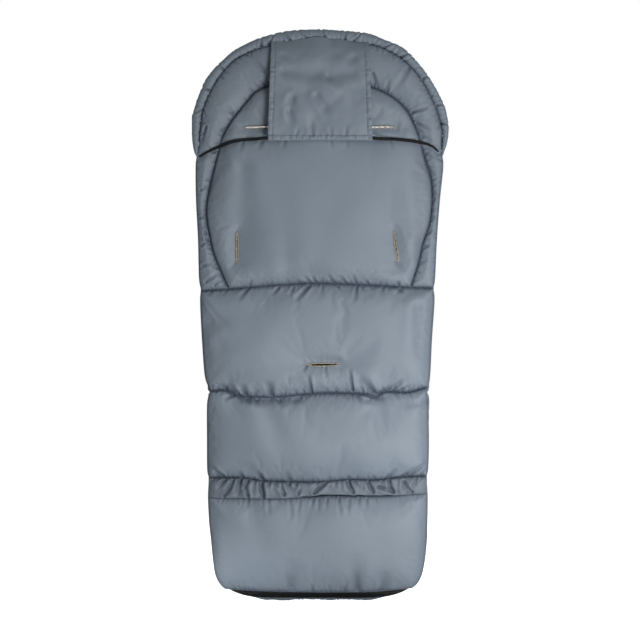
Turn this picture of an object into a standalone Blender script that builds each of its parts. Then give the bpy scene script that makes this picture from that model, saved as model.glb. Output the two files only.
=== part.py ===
"""Winter footmuff for a pushchair, upright, with its back towards -Y.

Metres, +Z up. The origin lies on the seam that carries the backrest flap, the place from
which the muff hangs over a seat's backrest. The plane y = 0 is the back of the fleece lining.
"""
import math

import bmesh
import bpy
from mathutils import Matrix, Vector
from mathutils.bvhtree import BVHTree

# Cloth, wadding and the clearances between layers
NYLON = 0.0010
FLEECE = 0.0030
PLY_GAP = 0.0003
STACK_GAP = 0.0004
SEAM_GAP = 0.0004
SEWN_FLAT = STACK_GAP + NYLON

# Hood: a superellipse whose crown is the seam of the backrest flap
HOOD_Z = -0.158
HOOD_HALF = 0.2113
HOOD_POWER = 2.2
CASING_WIDTH = 0.0152
CASING_DEPTH = 0.0120
CASING_GAP = 0.0008
CASING_END_Z = -0.193
CASING_BORE = 0.0092
CASING_STATIONS = 64
PUCKER = 0.17
HOOD_ELASTIC = 0.0040

# Quilted arch inside the hood
ARCH_Z = -0.2995
ARCH_HALF = 0.1985
ARCH_TOP_Z = -0.069
ARCH_POWER = 2.5
ARCH_FOOT_HALF = 0.1612
ARCH_FOOT_POWER = 1.9
ARCH_FLAT_HALF = 0.030
ARCH_LOW_STATIONS = 4
ARCH_STATIONS = 12
CORNER_CLEAR = 0.03

# Levels of the cross seams down the back
WAIST_Z = -0.4375
KNEE_Z = -0.6230
STORM_Z = -0.7770
STORM_HEIGHT = 0.0290
FOOT_Z = -0.9710

# Half widths of the back at its seams
SHOULDER_HALF = 0.2220
WAIST_HALF = 0.2095
KNEE_HALF = 0.1975
STORM_HALF = 0.1958
ANKLE_HALF = 0.1955
TOE_HALF = 0.1860
SIDE_PINCH = 0.0040
SIDE_PINCH_REACH = 0.012
ANKLE_DROP = 0.045
HEEL_CORNER = 0.035
HOOD_STEP = 0.014

# Padding
BACK_CROWN = 0.0200
SURROUND_CROWN = 0.0140
SURROUND_PUCKER = 0.16
SIDE_ROLL = 0.052
SEAM_ROLL = 0.056
ARCH_ROLL = 0.160
GATHER = 0.30
GATHER_REACH = 0.042
BACK_COLUMNS = 22

# Main creases that leave a cross seam: its level, then x and height above it near the seam
# and at the far end, then the depth as a share of the padding
STORM_FOOT_Z = STORM_Z - STORM_HEIGHT
CREASE_REACH = 0.023
CREASES = [
    (KNEE_Z, -0.018, 0.005, -0.016, 0.038, 0.35),
    (KNEE_Z, 0.060, 0.005, 0.054, 0.033, 0.35),
    (KNEE_Z, -0.080, -0.005, -0.062, -0.037, 0.30),
    (KNEE_Z, 0.100, -0.005, 0.118, -0.041, 0.30),
    (KNEE_Z, -0.150, -0.007, -0.135, -0.045, 0.28),
    (STORM_FOOT_Z, 0.022, -0.006, 0.016, -0.040, 0.25),
    (STORM_FOOT_Z, -0.110, -0.006, -0.096, -0.044, 0.25),
    (STORM_FOOT_Z, 0.120, -0.006, 0.128, -0.042, 0.25),
    (FOOT_Z, -0.042, 0.007, -0.050, 0.041, 0.35),
    (FOOT_Z, 0.060, 0.007, 0.066, 0.041, 0.35),
]

# Harness slots, bound at their edges
SLOT_WIDTH = 0.0054
BINDING = 0.0012
BINDING_PROUD = 0.0008
SLOT_DRAW = 0.35
SLOT_DRAW_REACH = 0.034
SHOULDER_SLOT_Z = -0.1525
SHOULDER_SLOT_X = 0.1090
SHOULDER_SLOT = 0.048
WAIST_SLOT_Z = -0.3670
WAIST_SLOT_LEFT_X = 0.1440
WAIST_SLOT_RIGHT_X = 0.1370
WAIST_SLOT_RIGHT_TILT = 8.0
WAIST_SLOT = 0.058
CROTCH_SLOT_Z = -0.5725
CROTCH_SLOT_X = 0.0088
CROTCH_SLOT = 0.060

# Backrest flap and the elastic in its hem
FLAP_HALF = 0.0920
FLAP_DROP = 0.1770
FLAP_PLY = 0.0012
FLAP_STANDOFF = 0.0056
FLAP_RISE = 0.070
FLAP_SEAM_Y = 0.0036
FLAP_SEAM_RISE = 0.0008
FLAP_SEAM_SPLAY = 0.0040
FLAP_SIDE_HEM = 0.014
FLAP_COLUMNS = 16
FLAP_WAVE = 0.0006
FLAP_WAVE_ACROSS = 70.0
FLAP_WAVE_DOWN = 95.0
FLAP_HEM_RAISE = 0.0004
HEM_DEPTH = 0.0130
RETURN_PLY = 0.0008
ELASTIC_WIDTH = 0.0055
ELASTIC_THICK = 0.0010
ELASTIC_TUCK = 0.0015
ELASTIC_DROP = 0.012
ELASTIC_BOW = 2.2
ELASTIC_TURN = 0.86
ELASTIC_LEAD = 0.004
ELASTIC_STATIONS = 16

# Storm flap and the zip under it
STORM_PLY = 0.0016
STORM_SEAM_Y = 0.0032
STORM_BULGE = 0.0100
STORM_TURN_IN = 0.0022
STORM_COLUMNS = 27
STORM_PLEAT = 0.0014
STORM_INSET = 0.0015
LENGTH_TAPE = 0.0007
LENGTH_TAPE_INSET = 0.006
LENGTH_COIL_WIDTH = 0.0046
LENGTH_COIL_THICK = 0.0013
LENGTH_SLIDER_X = -0.1700

# Side zip: both tapes stand on edge between the back and the cover
ZIP_TOP_Z = -0.272
ZIP_TOP_HALF = 0.2050
ZIP_TAPER = 0.0362
ZIP_BACK_Y = FLEECE + STACK_GAP
ZIP_FRONT_Y = 0.0300
ZIP_TAPE = 0.0007
ZIP_COIL = 0.0020
ZIP_COIL_WIDTH = 0.0017
ZIP_SPLIT = 0.0012
ZIP_HEEL_Z = FOOT_Z + 0.0015
ZIP_TOE_Z = -0.9850

# Front cover
MOUTH_Z = -0.235
CUFF_HEIGHT = 0.035
COVER_DEPTH = 0.060
COVER_POWER = 2.2
COVER_CROWN = 0.0150
FOLD_CLEAR = 0.0016
COVER_SEWN = FLEECE + STACK_GAP + NYLON
COVER_SIDE_ROLL = 0.110
COVER_COLUMNS = 14
CUFF_CROWN = 0.0090
CUFF_EDGE = 0.82
ANKLE_Z = -0.7900
TOE_CORNER_X = 0.075
TOE_CORNER_Z = 0.045
TOE_THINNING = 0.35

# Zip sliders and pullers
SLIDER_Z = -0.2800
SLIDER_LENGTH = 0.0130
SLIDER_WIDTH = 0.0090
SLIDER_PLATE = 0.0010
SLIDER_PLAY = 0.0004
POST_THICK = 0.0006
BRIDGE_WIDTH = 0.0020
BRIDGE_TOP = 0.0025
BRIDGE_FOOT = -0.0030
BRIDGE_BAR = 0.0009
BRIDGE_CLEAR = 0.0020
PULLER_WIDTH = 0.0080
PULLER_LENGTH = 0.0290
PULLER_THICK = 0.0011
PULLER_BAR = 0.0012
PULLER_HOLE = 0.0048
PULLER_SHOULDER = 0.75
PULLER_PIVOT_Z = -0.0010

# Places that follow from the sizes above
ANKLE_SIDE_Z = STORM_FOOT_Z - ANKLE_DROP
HEEL_CORNER_Z = FOOT_Z + HEEL_CORNER
ZIP_MIDDLE_Y = 0.5 * (ZIP_BACK_Y + ZIP_FRONT_Y)
COVER_Y = ZIP_FRONT_Y + STACK_GAP
FLAP_HINGE_Y = -(FLAP_SEAM_Y + 0.6 * FLAP_SEAM_SPLAY)
FOLD_Y = COVER_Y + COVER_DEPTH + COVER_CROWN + FOLD_CLEAR
CHEST_Z = MOUTH_Z - CUFF_HEIGHT

# Finishes: colour, roughness, metallic
SHELL_NYLON = ("shell_nylon", (0.20, 0.235, 0.265), 0.42, 0.0)
LINING_FLEECE = ("lining_fleece", (0.74, 0.68, 0.56), 0.95, 0.0)
WADDING = ("polyester_wadding", (0.86, 0.86, 0.84), 0.95, 0.0)
BINDING_TAPE = ("slot_binding", (0.62, 0.55, 0.38), 0.80, 0.0)
ELASTIC = ("black_elastic", (0.016, 0.016, 0.018), 0.75, 0.0)
ZIP_CLOTH = ("zip_tape", (0.018, 0.018, 0.020), 0.85, 0.0)
ZIP_TEETH = ("zip_coil", (0.022, 0.022, 0.024), 0.45, 0.0)
ZIP_METAL = ("zip_slider_metal", (0.060, 0.062, 0.066), 0.38, 0.9)


def clear_scene():
    for thing in list(bpy.data.objects):
        bpy.data.objects.remove(thing)


def finish_of(finish):
    name, colour, roughness, metallic = finish
    material = bpy.data.materials.get(name)
    if material is None:
        material = bpy.data.materials.new(name)
        material.use_nodes = True
        shader = material.node_tree.nodes["Principled BSDF"]
        shader.inputs["Base Color"].default_value = (*colour, 1.0)
        shader.inputs["Roughness"].default_value = roughness
        shader.inputs["Metallic"].default_value = metallic
    return material


def add_object(name, bm, finish=None, origin=(0.0, 0.0, 0.0)):
    """Turn a bmesh into an object whose origin is at the given point."""
    bmesh.ops.recalc_face_normals(bm, faces=bm.faces)
    bmesh.ops.translate(bm, verts=bm.verts, vec=-Vector(origin))
    mesh = bpy.data.meshes.new(name)
    bm.to_mesh(mesh)
    bm.free()
    thing = bpy.data.objects.new(name, mesh)
    thing.location = origin
    bpy.context.scene.collection.objects.link(thing)
    if finish:
        mesh.materials.append(finish_of(finish))
    return thing


def add_cutter(name, bm):
    cutter = add_object(name, bm)
    cutter.hide_render = True
    cutter.display_type = "WIRE"
    return cutter


def combine(thing, tool, operation):
    step = thing.modifiers.new(operation.lower(), "BOOLEAN")
    step.operation = operation
    step.solver = "EXACT"
    step.object = tool


def edge_roll(distance, reach):
    """Height from 0 to 1 of a padded edge, a quarter ellipse that is level past its reach."""
    left = 1.0 - min(max(distance, 0.0) / reach, 1.0)
    return math.sqrt(1.0 - left * left)


def spread(count):
    """Stations from -1 to 1, closer together near the ends."""
    steps = [2.0 * k / count - 1.0 for k in range(count + 1)]
    return [0.6 * math.sin(0.5 * math.pi * s) + 0.4 * s for s in steps]


def levels(top, bottom, count):
    return [0.5 * (top + bottom) - 0.5 * (top - bottom) * s for s in spread(count)]


def segment_distance(x, z, start, end):
    ax, az = start
    dx, dz = end[0] - ax, end[1] - az
    share = ((x - ax) * dx + (z - az) * dz) / (dx * dx + dz * dz)
    share = min(max(share, 0.0), 1.0)
    return math.hypot(x - ax - share * dx, z - az - share * dz)


def draw_in(distance, reach):
    """Smooth share from 1 on a crease to 0 at its reach."""
    return max(0.0, 1.0 - (distance / reach) ** 2) ** 2


def add_cell(bm, a, b, c, d):
    bm.faces.new((a, b, c))
    bm.faces.new((a, c, d))


def rim_of(rows, columns):
    top = [(0, j) for j in range(columns)]
    right = [(i, columns - 1) for i in range(1, rows)]
    bottom = [(rows - 1, j) for j in range(columns - 2, -1, -1)]
    left = [(i, 0) for i in range(rows - 2, 0, -1)]
    return top + right + bottom + left


def layer(name, outer, inner, finish, origin=(0.0, 0.0, 0.0)):
    """A closed sheet between two matching grids of points."""
    rows, columns = len(outer), len(outer[0])
    bm = bmesh.new()
    near = [[bm.verts.new(p) for p in row] for row in outer]
    far = [[bm.verts.new(p) for p in row] for row in inner]
    for i in range(rows - 1):
        for j in range(columns - 1):
            add_cell(bm, near[i][j], near[i][j + 1], near[i + 1][j + 1], near[i + 1][j])
            add_cell(bm, far[i][j], far[i][j + 1], far[i + 1][j + 1], far[i + 1][j])
    rim = rim_of(rows, columns)
    for (a, b), (c, d) in zip(rim, rim[1:] + rim[:1]):
        add_cell(bm, near[a][b], near[c][d], far[c][d], far[a][b])
    return add_object(name, bm, finish, origin)


def pad(name, outer, floor_y, finish):
    """A block of wadding with a shaped outside and a flat side at floor_y."""
    rows, columns = len(outer), len(outer[0])
    bm = bmesh.new()
    near = [[bm.verts.new(p) for p in row] for row in outer]
    for i in range(rows - 1):
        for j in range(columns - 1):
            add_cell(bm, near[i][j], near[i][j + 1], near[i + 1][j + 1], near[i + 1][j])
    rim = rim_of(rows, columns)
    base = [bm.verts.new((outer[a][b][0], floor_y, outer[a][b][2])) for a, b in rim]
    for k, (a, b) in enumerate(rim):
        c, d = rim[(k + 1) % len(rim)]
        add_cell(bm, near[a][b], near[c][d], base[(k + 1) % len(rim)], base[k])
    bm.faces.new(base)
    return add_object(name, bm, finish)


def inside_rings(grid):
    return [row[1:-1] for row in grid[1:-1]]


def side_half(z):
    """Half width of the muff's back at a level below the hood."""
    knots = [(CASING_END_Z, SHOULDER_HALF), (WAIST_Z, WAIST_HALF), (KNEE_Z, KNEE_HALF)]
    knots += [(STORM_Z, STORM_HALF), (ANKLE_SIDE_Z, ANKLE_HALF), (HEEL_CORNER_Z, TOE_HALF)]
    width = knots[0][1] if z > knots[0][0] else knots[-1][1]
    for (z0, w0), (z1, w1) in zip(knots, knots[1:]):
        if z1 <= z <= z0:
            width = w0 + (w1 - w0) * (z0 - z) / (z0 - z1)
    for seam in (WAIST_Z, KNEE_Z, STORM_Z):
        width -= SIDE_PINCH * math.exp(-((z - seam) / SIDE_PINCH_REACH) ** 2)
    if z < HEEL_CORNER_Z:
        drop = min(HEEL_CORNER_Z - z, HEEL_CORNER)
        width -= HEEL_CORNER - math.sqrt(HEEL_CORNER ** 2 - drop ** 2)
    return width


def back_half(z):
    """Half width of the quilted back, which is narrower where the casing runs."""
    if z >= CASING_END_Z:
        return HOOD_HALF
    share = min((CASING_END_Z - z) / HOOD_STEP, 1.0)
    return HOOD_HALF + (side_half(z) - HOOD_HALF) * share


def hood_point(angle, grow=0.0):
    """Point of the hood's seam, moved outwards by grow, from 0 at +X to 90 degrees at the crown."""
    x = (HOOD_HALF + grow) * math.cos(angle) ** (2.0 / HOOD_POWER)
    z = HOOD_Z + (grow - HOOD_Z) * math.sin(angle) ** (2.0 / HOOD_POWER)
    return x, z


def in_outline(x, z):
    if z <= HOOD_Z:
        return abs(x) <= back_half(z)
    return (abs(x) / HOOD_HALF) ** HOOD_POWER + ((z - HOOD_Z) / -HOOD_Z) ** HOOD_POWER <= 1.0


def outline_along(dx, dz):
    """Where a ray from the arch's centre leaves the outline."""
    near, far = 0.0, 1.0
    length = math.hypot(dx, dz)
    for _ in range(40):
        middle = 0.5 * (near + far)
        if in_outline(middle * dx / length, ARCH_Z + middle * dz / length):
            near = middle
        else:
            far = middle
    return near * dx / length, ARCH_Z + near * dz / length


def arch_half(z):
    """Half width of the quilted arch at a level."""
    if z >= ARCH_Z:
        rise = min((z - ARCH_Z) / (ARCH_TOP_Z - ARCH_Z), 1.0)
        return ARCH_HALF * (1.0 - rise ** ARCH_POWER) ** (1.0 / ARCH_POWER)
    drop = (ARCH_Z - z) / (ARCH_Z - WAIST_Z)
    return ARCH_HALF - (ARCH_HALF - ARCH_FOOT_HALF) * drop ** ARCH_FOOT_POWER


def arch_stations():
    """Right half of the arch seam, from the waist up, as pairs of inner and outer points."""
    pairs = []
    for k in range(ARCH_LOW_STATIONS):
        share = 1.0 - k / ARCH_LOW_STATIONS
        z = ARCH_Z + (WAIST_Z - ARCH_Z) * share + (SEAM_GAP if k == 0 else 0.0)
        pairs.append(((arch_half(z), z), (back_half(z), z)))
    last = math.acos((ARCH_FLAT_HALF / ARCH_HALF) ** (0.5 * ARCH_POWER))
    rise = ARCH_TOP_Z - ARCH_Z
    corners = [math.atan2(CASING_END_Z - ARCH_Z, HOOD_HALF)]
    corners.append(math.atan2(CASING_END_Z - HOOD_STEP - ARCH_Z, back_half(CASING_END_Z - HOOD_STEP)))
    rays = []
    for k in range(ARCH_STATIONS + 1):
        angle = last * k / ARCH_STATIONS
        x = ARCH_HALF * math.cos(angle) ** (2.0 / ARCH_POWER)
        ray = math.atan2(rise * math.sin(angle) ** (2.0 / ARCH_POWER), x)
        if all(abs(ray - corner) > CORNER_CLEAR for corner in corners):
            rays.append(ray)
    for ray in sorted(rays + corners):
        across, up = math.cos(ray), math.sin(ray)
        reach = ((across / ARCH_HALF) ** ARCH_POWER + (up / rise) ** ARCH_POWER)
        reach **= -1.0 / ARCH_POWER
        inner = (reach * across, ARCH_Z + reach * up)
        pairs.append((inner, outline_along(across, up)))
    return pairs


def slot_places():
    """Name, centre, length and tilt in degrees of each harness slot."""
    tilt = WAIST_SLOT_RIGHT_TILT
    return [
        ("shoulder_slot_left", -SHOULDER_SLOT_X, SHOULDER_SLOT_Z, SHOULDER_SLOT, 0.0),
        ("shoulder_slot_right", SHOULDER_SLOT_X, SHOULDER_SLOT_Z, SHOULDER_SLOT, 0.0),
        ("waist_slot_left", -WAIST_SLOT_LEFT_X, WAIST_SLOT_Z, WAIST_SLOT, 90.0),
        ("waist_slot_right", WAIST_SLOT_RIGHT_X, WAIST_SLOT_Z, WAIST_SLOT, 90.0 + tilt),
        ("crotch_slot", CROTCH_SLOT_X, CROTCH_SLOT_Z, CROTCH_SLOT, 0.0),
    ]


def slot_line(x, z, length, tilt):
    run = 0.5 * (length - SLOT_WIDTH)
    dx, dz = run * math.cos(math.radians(tilt)), run * math.sin(math.radians(tilt))
    return (x - dx, z - dz), (x + dx, z + dz)


def slot_draw(x, z):
    """How far the stitching round the slots draws the padding in."""
    keep = 1.0
    for _, sx, sz, length, tilt in slot_places():
        start, end = slot_line(sx, sz, length, tilt)
        keep *= 1.0 - SLOT_DRAW * draw_in(segment_distance(x, z, start, end), SLOT_DRAW_REACH)
    return keep


def crease_keep(x, z):
    """How far the slots and the creases that leave the seams draw the padding in."""
    keep = slot_draw(x, z)
    for seam, x_near, near, x_far, far, depth in CREASES:
        away = segment_distance(x, z, (x_near, seam + near), (x_far, seam + far))
        keep *= 1.0 - depth * draw_in(away, CREASE_REACH)
    return keep


def gather_keep(column, distance):
    """Small gathers beside a seam: every second column is drawn in."""
    return 1.0 - GATHER * (column % 2) * max(0.0, 1.0 - distance / GATHER_REACH) ** 2


def panel_height(x, z, column, half, top, bottom, top_roll):
    high, low = top - z, z - bottom
    rise = edge_roll(half - abs(x), SIDE_ROLL) * edge_roll(high, top_roll)
    rise *= edge_roll(low, SEAM_ROLL) * gather_keep(column, min(high, low)) * crease_keep(x, z)
    return SEWN_FLAT + (BACK_CROWN - SEWN_FLAT) * rise


def quilt(name, plan, heights):
    """Outer nylon and wadding of one quilted panel, from its plan and its heights."""
    def raised(lower):
        return [[(x, lower - h, z) for (x, z), h in zip(row, tall)]
                for row, tall in zip(plan, heights)]

    shell = layer(name + "_outer", raised(0.0), raised(NYLON), SHELL_NYLON)
    core = inside_rings(raised(NYLON + PLY_GAP))
    wadding = pad(name + "_wadding", core, -STACK_GAP, WADDING)
    return shell, wadding


def row_panel(name, rows, half_of, top_roll=SEAM_ROLL):
    """A quilted panel made of level rows between the muff's two sides."""
    top, bottom = rows[0], rows[-1]
    plan, heights = [], []
    for z in rows:
        half = half_of(z)
        line = [(u * half, z) for u in spread(BACK_COLUMNS)]
        plan.append(line)
        heights.append([panel_height(x, z, j, half, top, bottom, top_roll)
                        for j, (x, _) in enumerate(line)])
    return quilt(name, plan, heights)


def heel_rows():
    """Levels of the foot panel, closer together round its corners."""
    straight = levels(STORM_FOOT_Z - SEAM_GAP, HEEL_CORNER_Z, 6)
    turn = [HEEL_CORNER_Z - HEEL_CORNER * math.sin(math.radians(a)) for a in (28, 52, 73, 90)]
    return straight + turn


def back_panels():
    pairs = arch_stations()
    arch_rows = [z for (_, z), _ in pairs][::-1]
    arch_widths = {z: x for (x, z), _ in pairs}
    centre = row_panel("centre_panel", arch_rows, arch_widths.get, ARCH_ROLL)

    plan, heights = [], []
    crown = ((0.0, pairs[-1][0][1]), (0.0, 0.0))
    left = [((-xi, zi), (-xo, zo)) for (xi, zi), (xo, zo) in pairs]
    across = [0.5 * (1.0 + s) for s in spread(5)]
    for k, (inner, outer) in enumerate(left + [crown] + pairs[::-1]):
        inner, outer = Vector(inner), Vector(outer)
        width = (outer - inner).length
        inner = inner + (outer - inner) * (SEAM_GAP / width)
        gather = 1.0 if k % 2 else 1.0 - SURROUND_PUCKER
        swell = min(SURROUND_CROWN, 0.5 * width) * gather - SEWN_FLAT
        line = [inner.lerp(outer, s) for s in across]
        plan.append([tuple(p) for p in line])
        tall = []
        for s, p in zip(across, line):
            rise = edge_roll(s, 0.5) * edge_roll(1.0 - s, 0.5)
            rise *= edge_roll(p.y - WAIST_Z, SEAM_ROLL)
            tall.append(SEWN_FLAT + swell * rise)
        heights.append(tall)
    surround = quilt("hood_surround", plan, heights)

    seat = row_panel("seat_panel", levels(WAIST_Z - SEAM_GAP, KNEE_Z + SEAM_GAP, 9), side_half)
    knee = row_panel("knee_panel", levels(KNEE_Z, STORM_Z + SEAM_GAP, 8), side_half)
    foot = row_panel("foot_panel", heel_rows(), side_half)
    return {"centre": centre, "surround": surround, "seat": seat, "knee": knee, "foot": foot}


def outline_loop():
    """Outline of the whole back, counter-clockwise from the right heel."""
    right = []
    for z in heel_rows()[::-1] + levels(KNEE_Z, STORM_Z, 8)[::-1] + levels(WAIST_Z, KNEE_Z, 9)[::-1]:
        right.append((side_half(z), z))
    for z in levels(CASING_END_Z - HOOD_STEP, WAIST_Z, 5)[::-1][1:]:
        right.append((side_half(z), z))
    right.append((HOOD_HALF, CASING_END_Z))
    right += [hood_point(math.radians(a)) for a in range(0, 90, 6)]
    return right + [(0.0, 0.0)] + [(-x, z) for x, z in right[::-1]]


def flat_sheet(name, outline, y_back, y_front, finish):
    bm = bmesh.new()
    back = [bm.verts.new((x, y_back, z)) for x, z in outline]
    front = [bm.verts.new((x, y_front, z)) for x, z in outline]
    bm.faces.new(back)
    bm.faces.new(front[::-1])
    for k in range(len(outline)):
        n = (k + 1) % len(outline)
        bm.faces.new((back[k], front[k], front[n], back[n]))
    return add_object(name, bm, finish)


def stadium(width, length, x, z, tilt):
    """Outline of a slot with round ends."""
    radius = 0.5 * width
    run = 0.5 * length - radius
    turn = math.radians(tilt)
    points = []
    for end in (0, 1):
        for k in range(7):
            angle = math.pi * (end - 0.5) + math.pi * k / 6
            along = (run if end == 0 else -run) + radius * math.cos(angle)
            side = radius * math.sin(angle)
            points.append((x + along * math.cos(turn) - side * math.sin(turn),
                           z + along * math.sin(turn) + side * math.cos(turn)))
    return points


def cut_slots(things, places):
    """Cut the given slots, with room for their bindings, through each thing."""
    bm = bmesh.new()
    room = 2.0 * (BINDING + PLY_GAP)
    for name, x, z, length, tilt in places:
        outline = stadium(SLOT_WIDTH + room, length + room, x, z, tilt)
        back = [bm.verts.new((px, -2.0 * BACK_CROWN, pz)) for px, pz in outline]
        front = [bm.verts.new((px, 2.0 * FLEECE, pz)) for px, pz in outline]
        bm.faces.new(back)
        bm.faces.new(front[::-1])
        for k in range(len(outline)):
            n = (k + 1) % len(outline)
            bm.faces.new((back[k], front[k], front[n], back[n]))
    cutter = add_cutter("cutter_" + places[0][0], bm)
    for thing in things:
        combine(thing, cutter, "DIFFERENCE")


def slot_height(name, x, z, length, tilt):
    """Highest padding beside a slot, which its binding has to reach."""
    tall = 0.0
    for px, pz in [(x, z), *slot_line(x, z, length, tilt)]:
        if name == "crotch_slot":
            here = panel_height(px, pz, 0, side_half(pz), WAIST_Z, KNEE_Z, SEAM_ROLL)
        else:
            here = panel_height(px, pz, 0, arch_half(pz), ARCH_TOP_Z, WAIST_Z, ARCH_ROLL)
        tall = max(tall, here)
    return tall


def slot_bindings():
    """One bound ring for each slot, through all the layers."""
    for name, x, z, length, tilt in slot_places():
        tall = slot_height(name, x, z, length, tilt)
        ring = 2.0 * BINDING
        outer = stadium(SLOT_WIDTH + ring, length + ring, x, z, tilt)
        inner = stadium(SLOT_WIDTH, length, x, z, tilt)
        bm = bmesh.new()
        loops = []
        for outline, y in ((outer, -tall - BINDING_PROUD), (outer, FLEECE + BINDING_PROUD),
                           (inner, FLEECE + BINDING_PROUD), (inner, -tall - BINDING_PROUD)):
            loops.append([bm.verts.new((px, y, pz)) for px, pz in outline])
        for a, b in zip(loops, loops[1:] + loops[:1]):
            for k in range(len(a)):
                n = (k + 1) % len(a)
                bm.faces.new((a[k], a[n], b[n], b[k]))
        add_object(name + "_binding", bm, BINDING_TAPE)


def casing_path():
    """Middle of the gathered casing, evenly spaced, from its left end over the crown."""
    grow = 0.5 * CASING_WIDTH + CASING_GAP
    right = [(HOOD_HALF + grow, CASING_END_Z + (HOOD_Z - CASING_END_Z) * k / 8) for k in range(8)]
    right += [hood_point(math.radians(90.0 * k / 240), grow) for k in range(241)]
    dense = [(-x, z) for x, z in right] + [(x, z) for x, z in right[::-1]][1:]
    reach = [0.0]
    for (x0, z0), (x1, z1) in zip(dense, dense[1:]):
        reach.append(reach[-1] + math.hypot(x1 - x0, z1 - z0))
    path, k = [], 0
    for n in range(CASING_STATIONS + 1):
        goal = reach[-1] * n / CASING_STATIONS
        while k < len(reach) - 2 and reach[k + 1] < goal:
            k += 1
        share = (goal - reach[k]) / (reach[k + 1] - reach[k])
        (x0, z0), (x1, z1) = dense[k], dense[k + 1]
        path.append(Vector((x0 + (x1 - x0) * share, 0.0, z0 + (z1 - z0) * share)))
    return path


def path_sides(path):
    """Outward direction in the plane of the back at each point of a path over the hood."""
    sides = []
    for k in range(len(path)):
        along = path[min(k + 1, len(path) - 1)] - path[max(k - 1, 0)]
        sides.append(Vector((-along.z, 0.0, along.x)).normalized())
    return sides


def hood_casing():
    """Gathered tube round the hood, open at both ends, and the elastic that gathers it."""
    path = casing_path()
    sides = path_sides(path)
    depth = Vector((0.0, 1.0, 0.0))
    corners = [2.0 * math.pi * (k + 0.5) / 8 for k in range(8)]
    bm = bmesh.new()
    outer, inner = [], []
    for k, (middle, side) in enumerate(zip(path, sides)):
        gather = 1.0 - PUCKER * (k % 2)
        wide, deep = 0.5 * CASING_WIDTH * gather, 0.5 * CASING_DEPTH * (2.0 - gather) * gather
        outer.append([bm.verts.new(middle + side * wide * math.cos(a) + depth * deep * math.sin(a))
                      for a in corners])
        bore = 0.5 * CASING_BORE
        inner.append([bm.verts.new(middle + (side * math.cos(a) + depth * math.sin(a)) * bore)
                      for a in corners])
    for rings in (outer, inner):
        for a, b in zip(rings, rings[1:]):
            for k in range(8):
                n = (k + 1) % 8
                add_cell(bm, a[k], a[n], b[n], b[k])
    for a, b in ((outer[0], inner[0]), (outer[-1], inner[-1])):
        for k in range(8):
            n = (k + 1) % 8
            bm.faces.new((a[k], a[n], b[n], b[k]))
    add_object("hood_casing", bm, SHELL_NYLON)

    offset = 0.5 * (CASING_BORE * math.cos(math.pi / 8) - HOOD_ELASTIC) - PLY_GAP
    spline_points = [m - s * offset for m, s in zip(path, sides)]
    curve = bpy.data.curves.new("hood_elastic", "CURVE")
    curve.dimensions = "3D"
    curve.bevel_depth = 0.5 * HOOD_ELASTIC
    curve.bevel_resolution = 1
    curve.use_fill_caps = True
    line = curve.splines.new("POLY")
    line.points.add(len(spline_points) - 1)
    for point, place in zip(line.points, spline_points):
        point.co = (*place, 1.0)
    cord = bpy.data.objects.new("hood_elastic", curve)
    bpy.context.scene.collection.objects.link(cord)
    curve.materials.append(finish_of(ELASTIC))


def flap_line():
    """Depth and level of the flap's middle, from its seam to the foot of its hem."""
    out = BACK_CROWN + FLAP_STANDOFF + RETURN_PLY + ELASTIC_THICK + 2.0 * PLY_GAP + 0.5 * FLAP_PLY
    points = [(-FLAP_SEAM_Y, FLAP_SEAM_RISE)]
    for k in range(1, 8):
        drop = FLAP_RISE * (k / 8) ** 2 + 0.5 * FLAP_PLY
        points.append((-(FLAP_SEAM_Y + (out - FLAP_SEAM_Y) * edge_roll(drop, FLAP_RISE)), -drop))
    foot = -(FLAP_DROP - 0.5 * FLAP_PLY)
    for share in (0.15, 0.4, 0.65, 0.85, 1.0):
        points.append((-out, -FLAP_RISE + (foot + FLAP_RISE) * share))
    return points, out


def backrest_flap():
    """Cloth flap sewn at its top, with a hem folded inwards round the elastic."""
    points, out = flap_line()
    foot = points[-1][1]
    back_y = -(BACK_CROWN + FLAP_STANDOFF + 0.5 * RETURN_PLY)
    fold = [(0.5 * (back_y - out), foot - FLAP_PLY), (back_y, foot)]
    fold += [(back_y, foot + 0.5 * HEM_DEPTH), (back_y, foot + HEM_DEPTH)]
    outer, inner = [], []
    for x_share in spread(FLAP_COLUMNS):
        column_outer, column_inner = [], []
        x = FLAP_HALF * x_share
        hem = 1.0 if FLAP_HALF - abs(x) < FLAP_SIDE_HEM else 0.0
        seam_y, seam_z = points[0]
        seam = (seam_y - FLAP_SEAM_SPLAY * abs(x_share), seam_z)
        full = [seam] + points[1:] + fold
        for k, (y, z) in enumerate(full):
            y0, z0 = full[max(k - 1, 0)]
            y1, z1 = full[min(k + 1, len(full) - 1)]
            length = math.hypot(y1 - y0, z1 - z0)
            ny, nz = (z1 - z0) / length, -(y1 - y0) / length
            thick = 0.5 * (FLAP_PLY if k < len(points) else RETURN_PLY)
            wave = 0.0
            if z < -0.3 * FLAP_RISE and k < len(points) - 1:
                wave = FLAP_WAVE * math.sin(FLAP_WAVE_ACROSS * x - FLAP_WAVE_DOWN * z)
                wave += FLAP_HEM_RAISE * hem
            column_outer.append((x, y + ny * thick - wave, z + nz * thick))
            column_inner.append((x, y - ny * thick, z - nz * thick))
        outer.append(column_outer)
        inner.append(column_inner)
    layer("backrest_flap", outer, inner, SHELL_NYLON, (0.0, FLAP_HINGE_Y, FLAP_SEAM_RISE))
    return out, foot


def outside_of(things):
    """A function that gives the depth of the outermost surface of the things at a point."""
    trees = []
    for thing in things:
        points = [v.co + thing.location for v in thing.data.vertices]
        trees.append(BVHTree.FromPolygons(points, [f.vertices for f in thing.data.polygons]))

    def depth(x, z):
        hits = [tree.ray_cast(Vector((x, -1.0, z)), Vector((0.0, 1.0, 0.0)))[0] for tree in trees]
        return min([hit.y for hit in hits if hit] or [0.0])

    return depth


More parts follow.
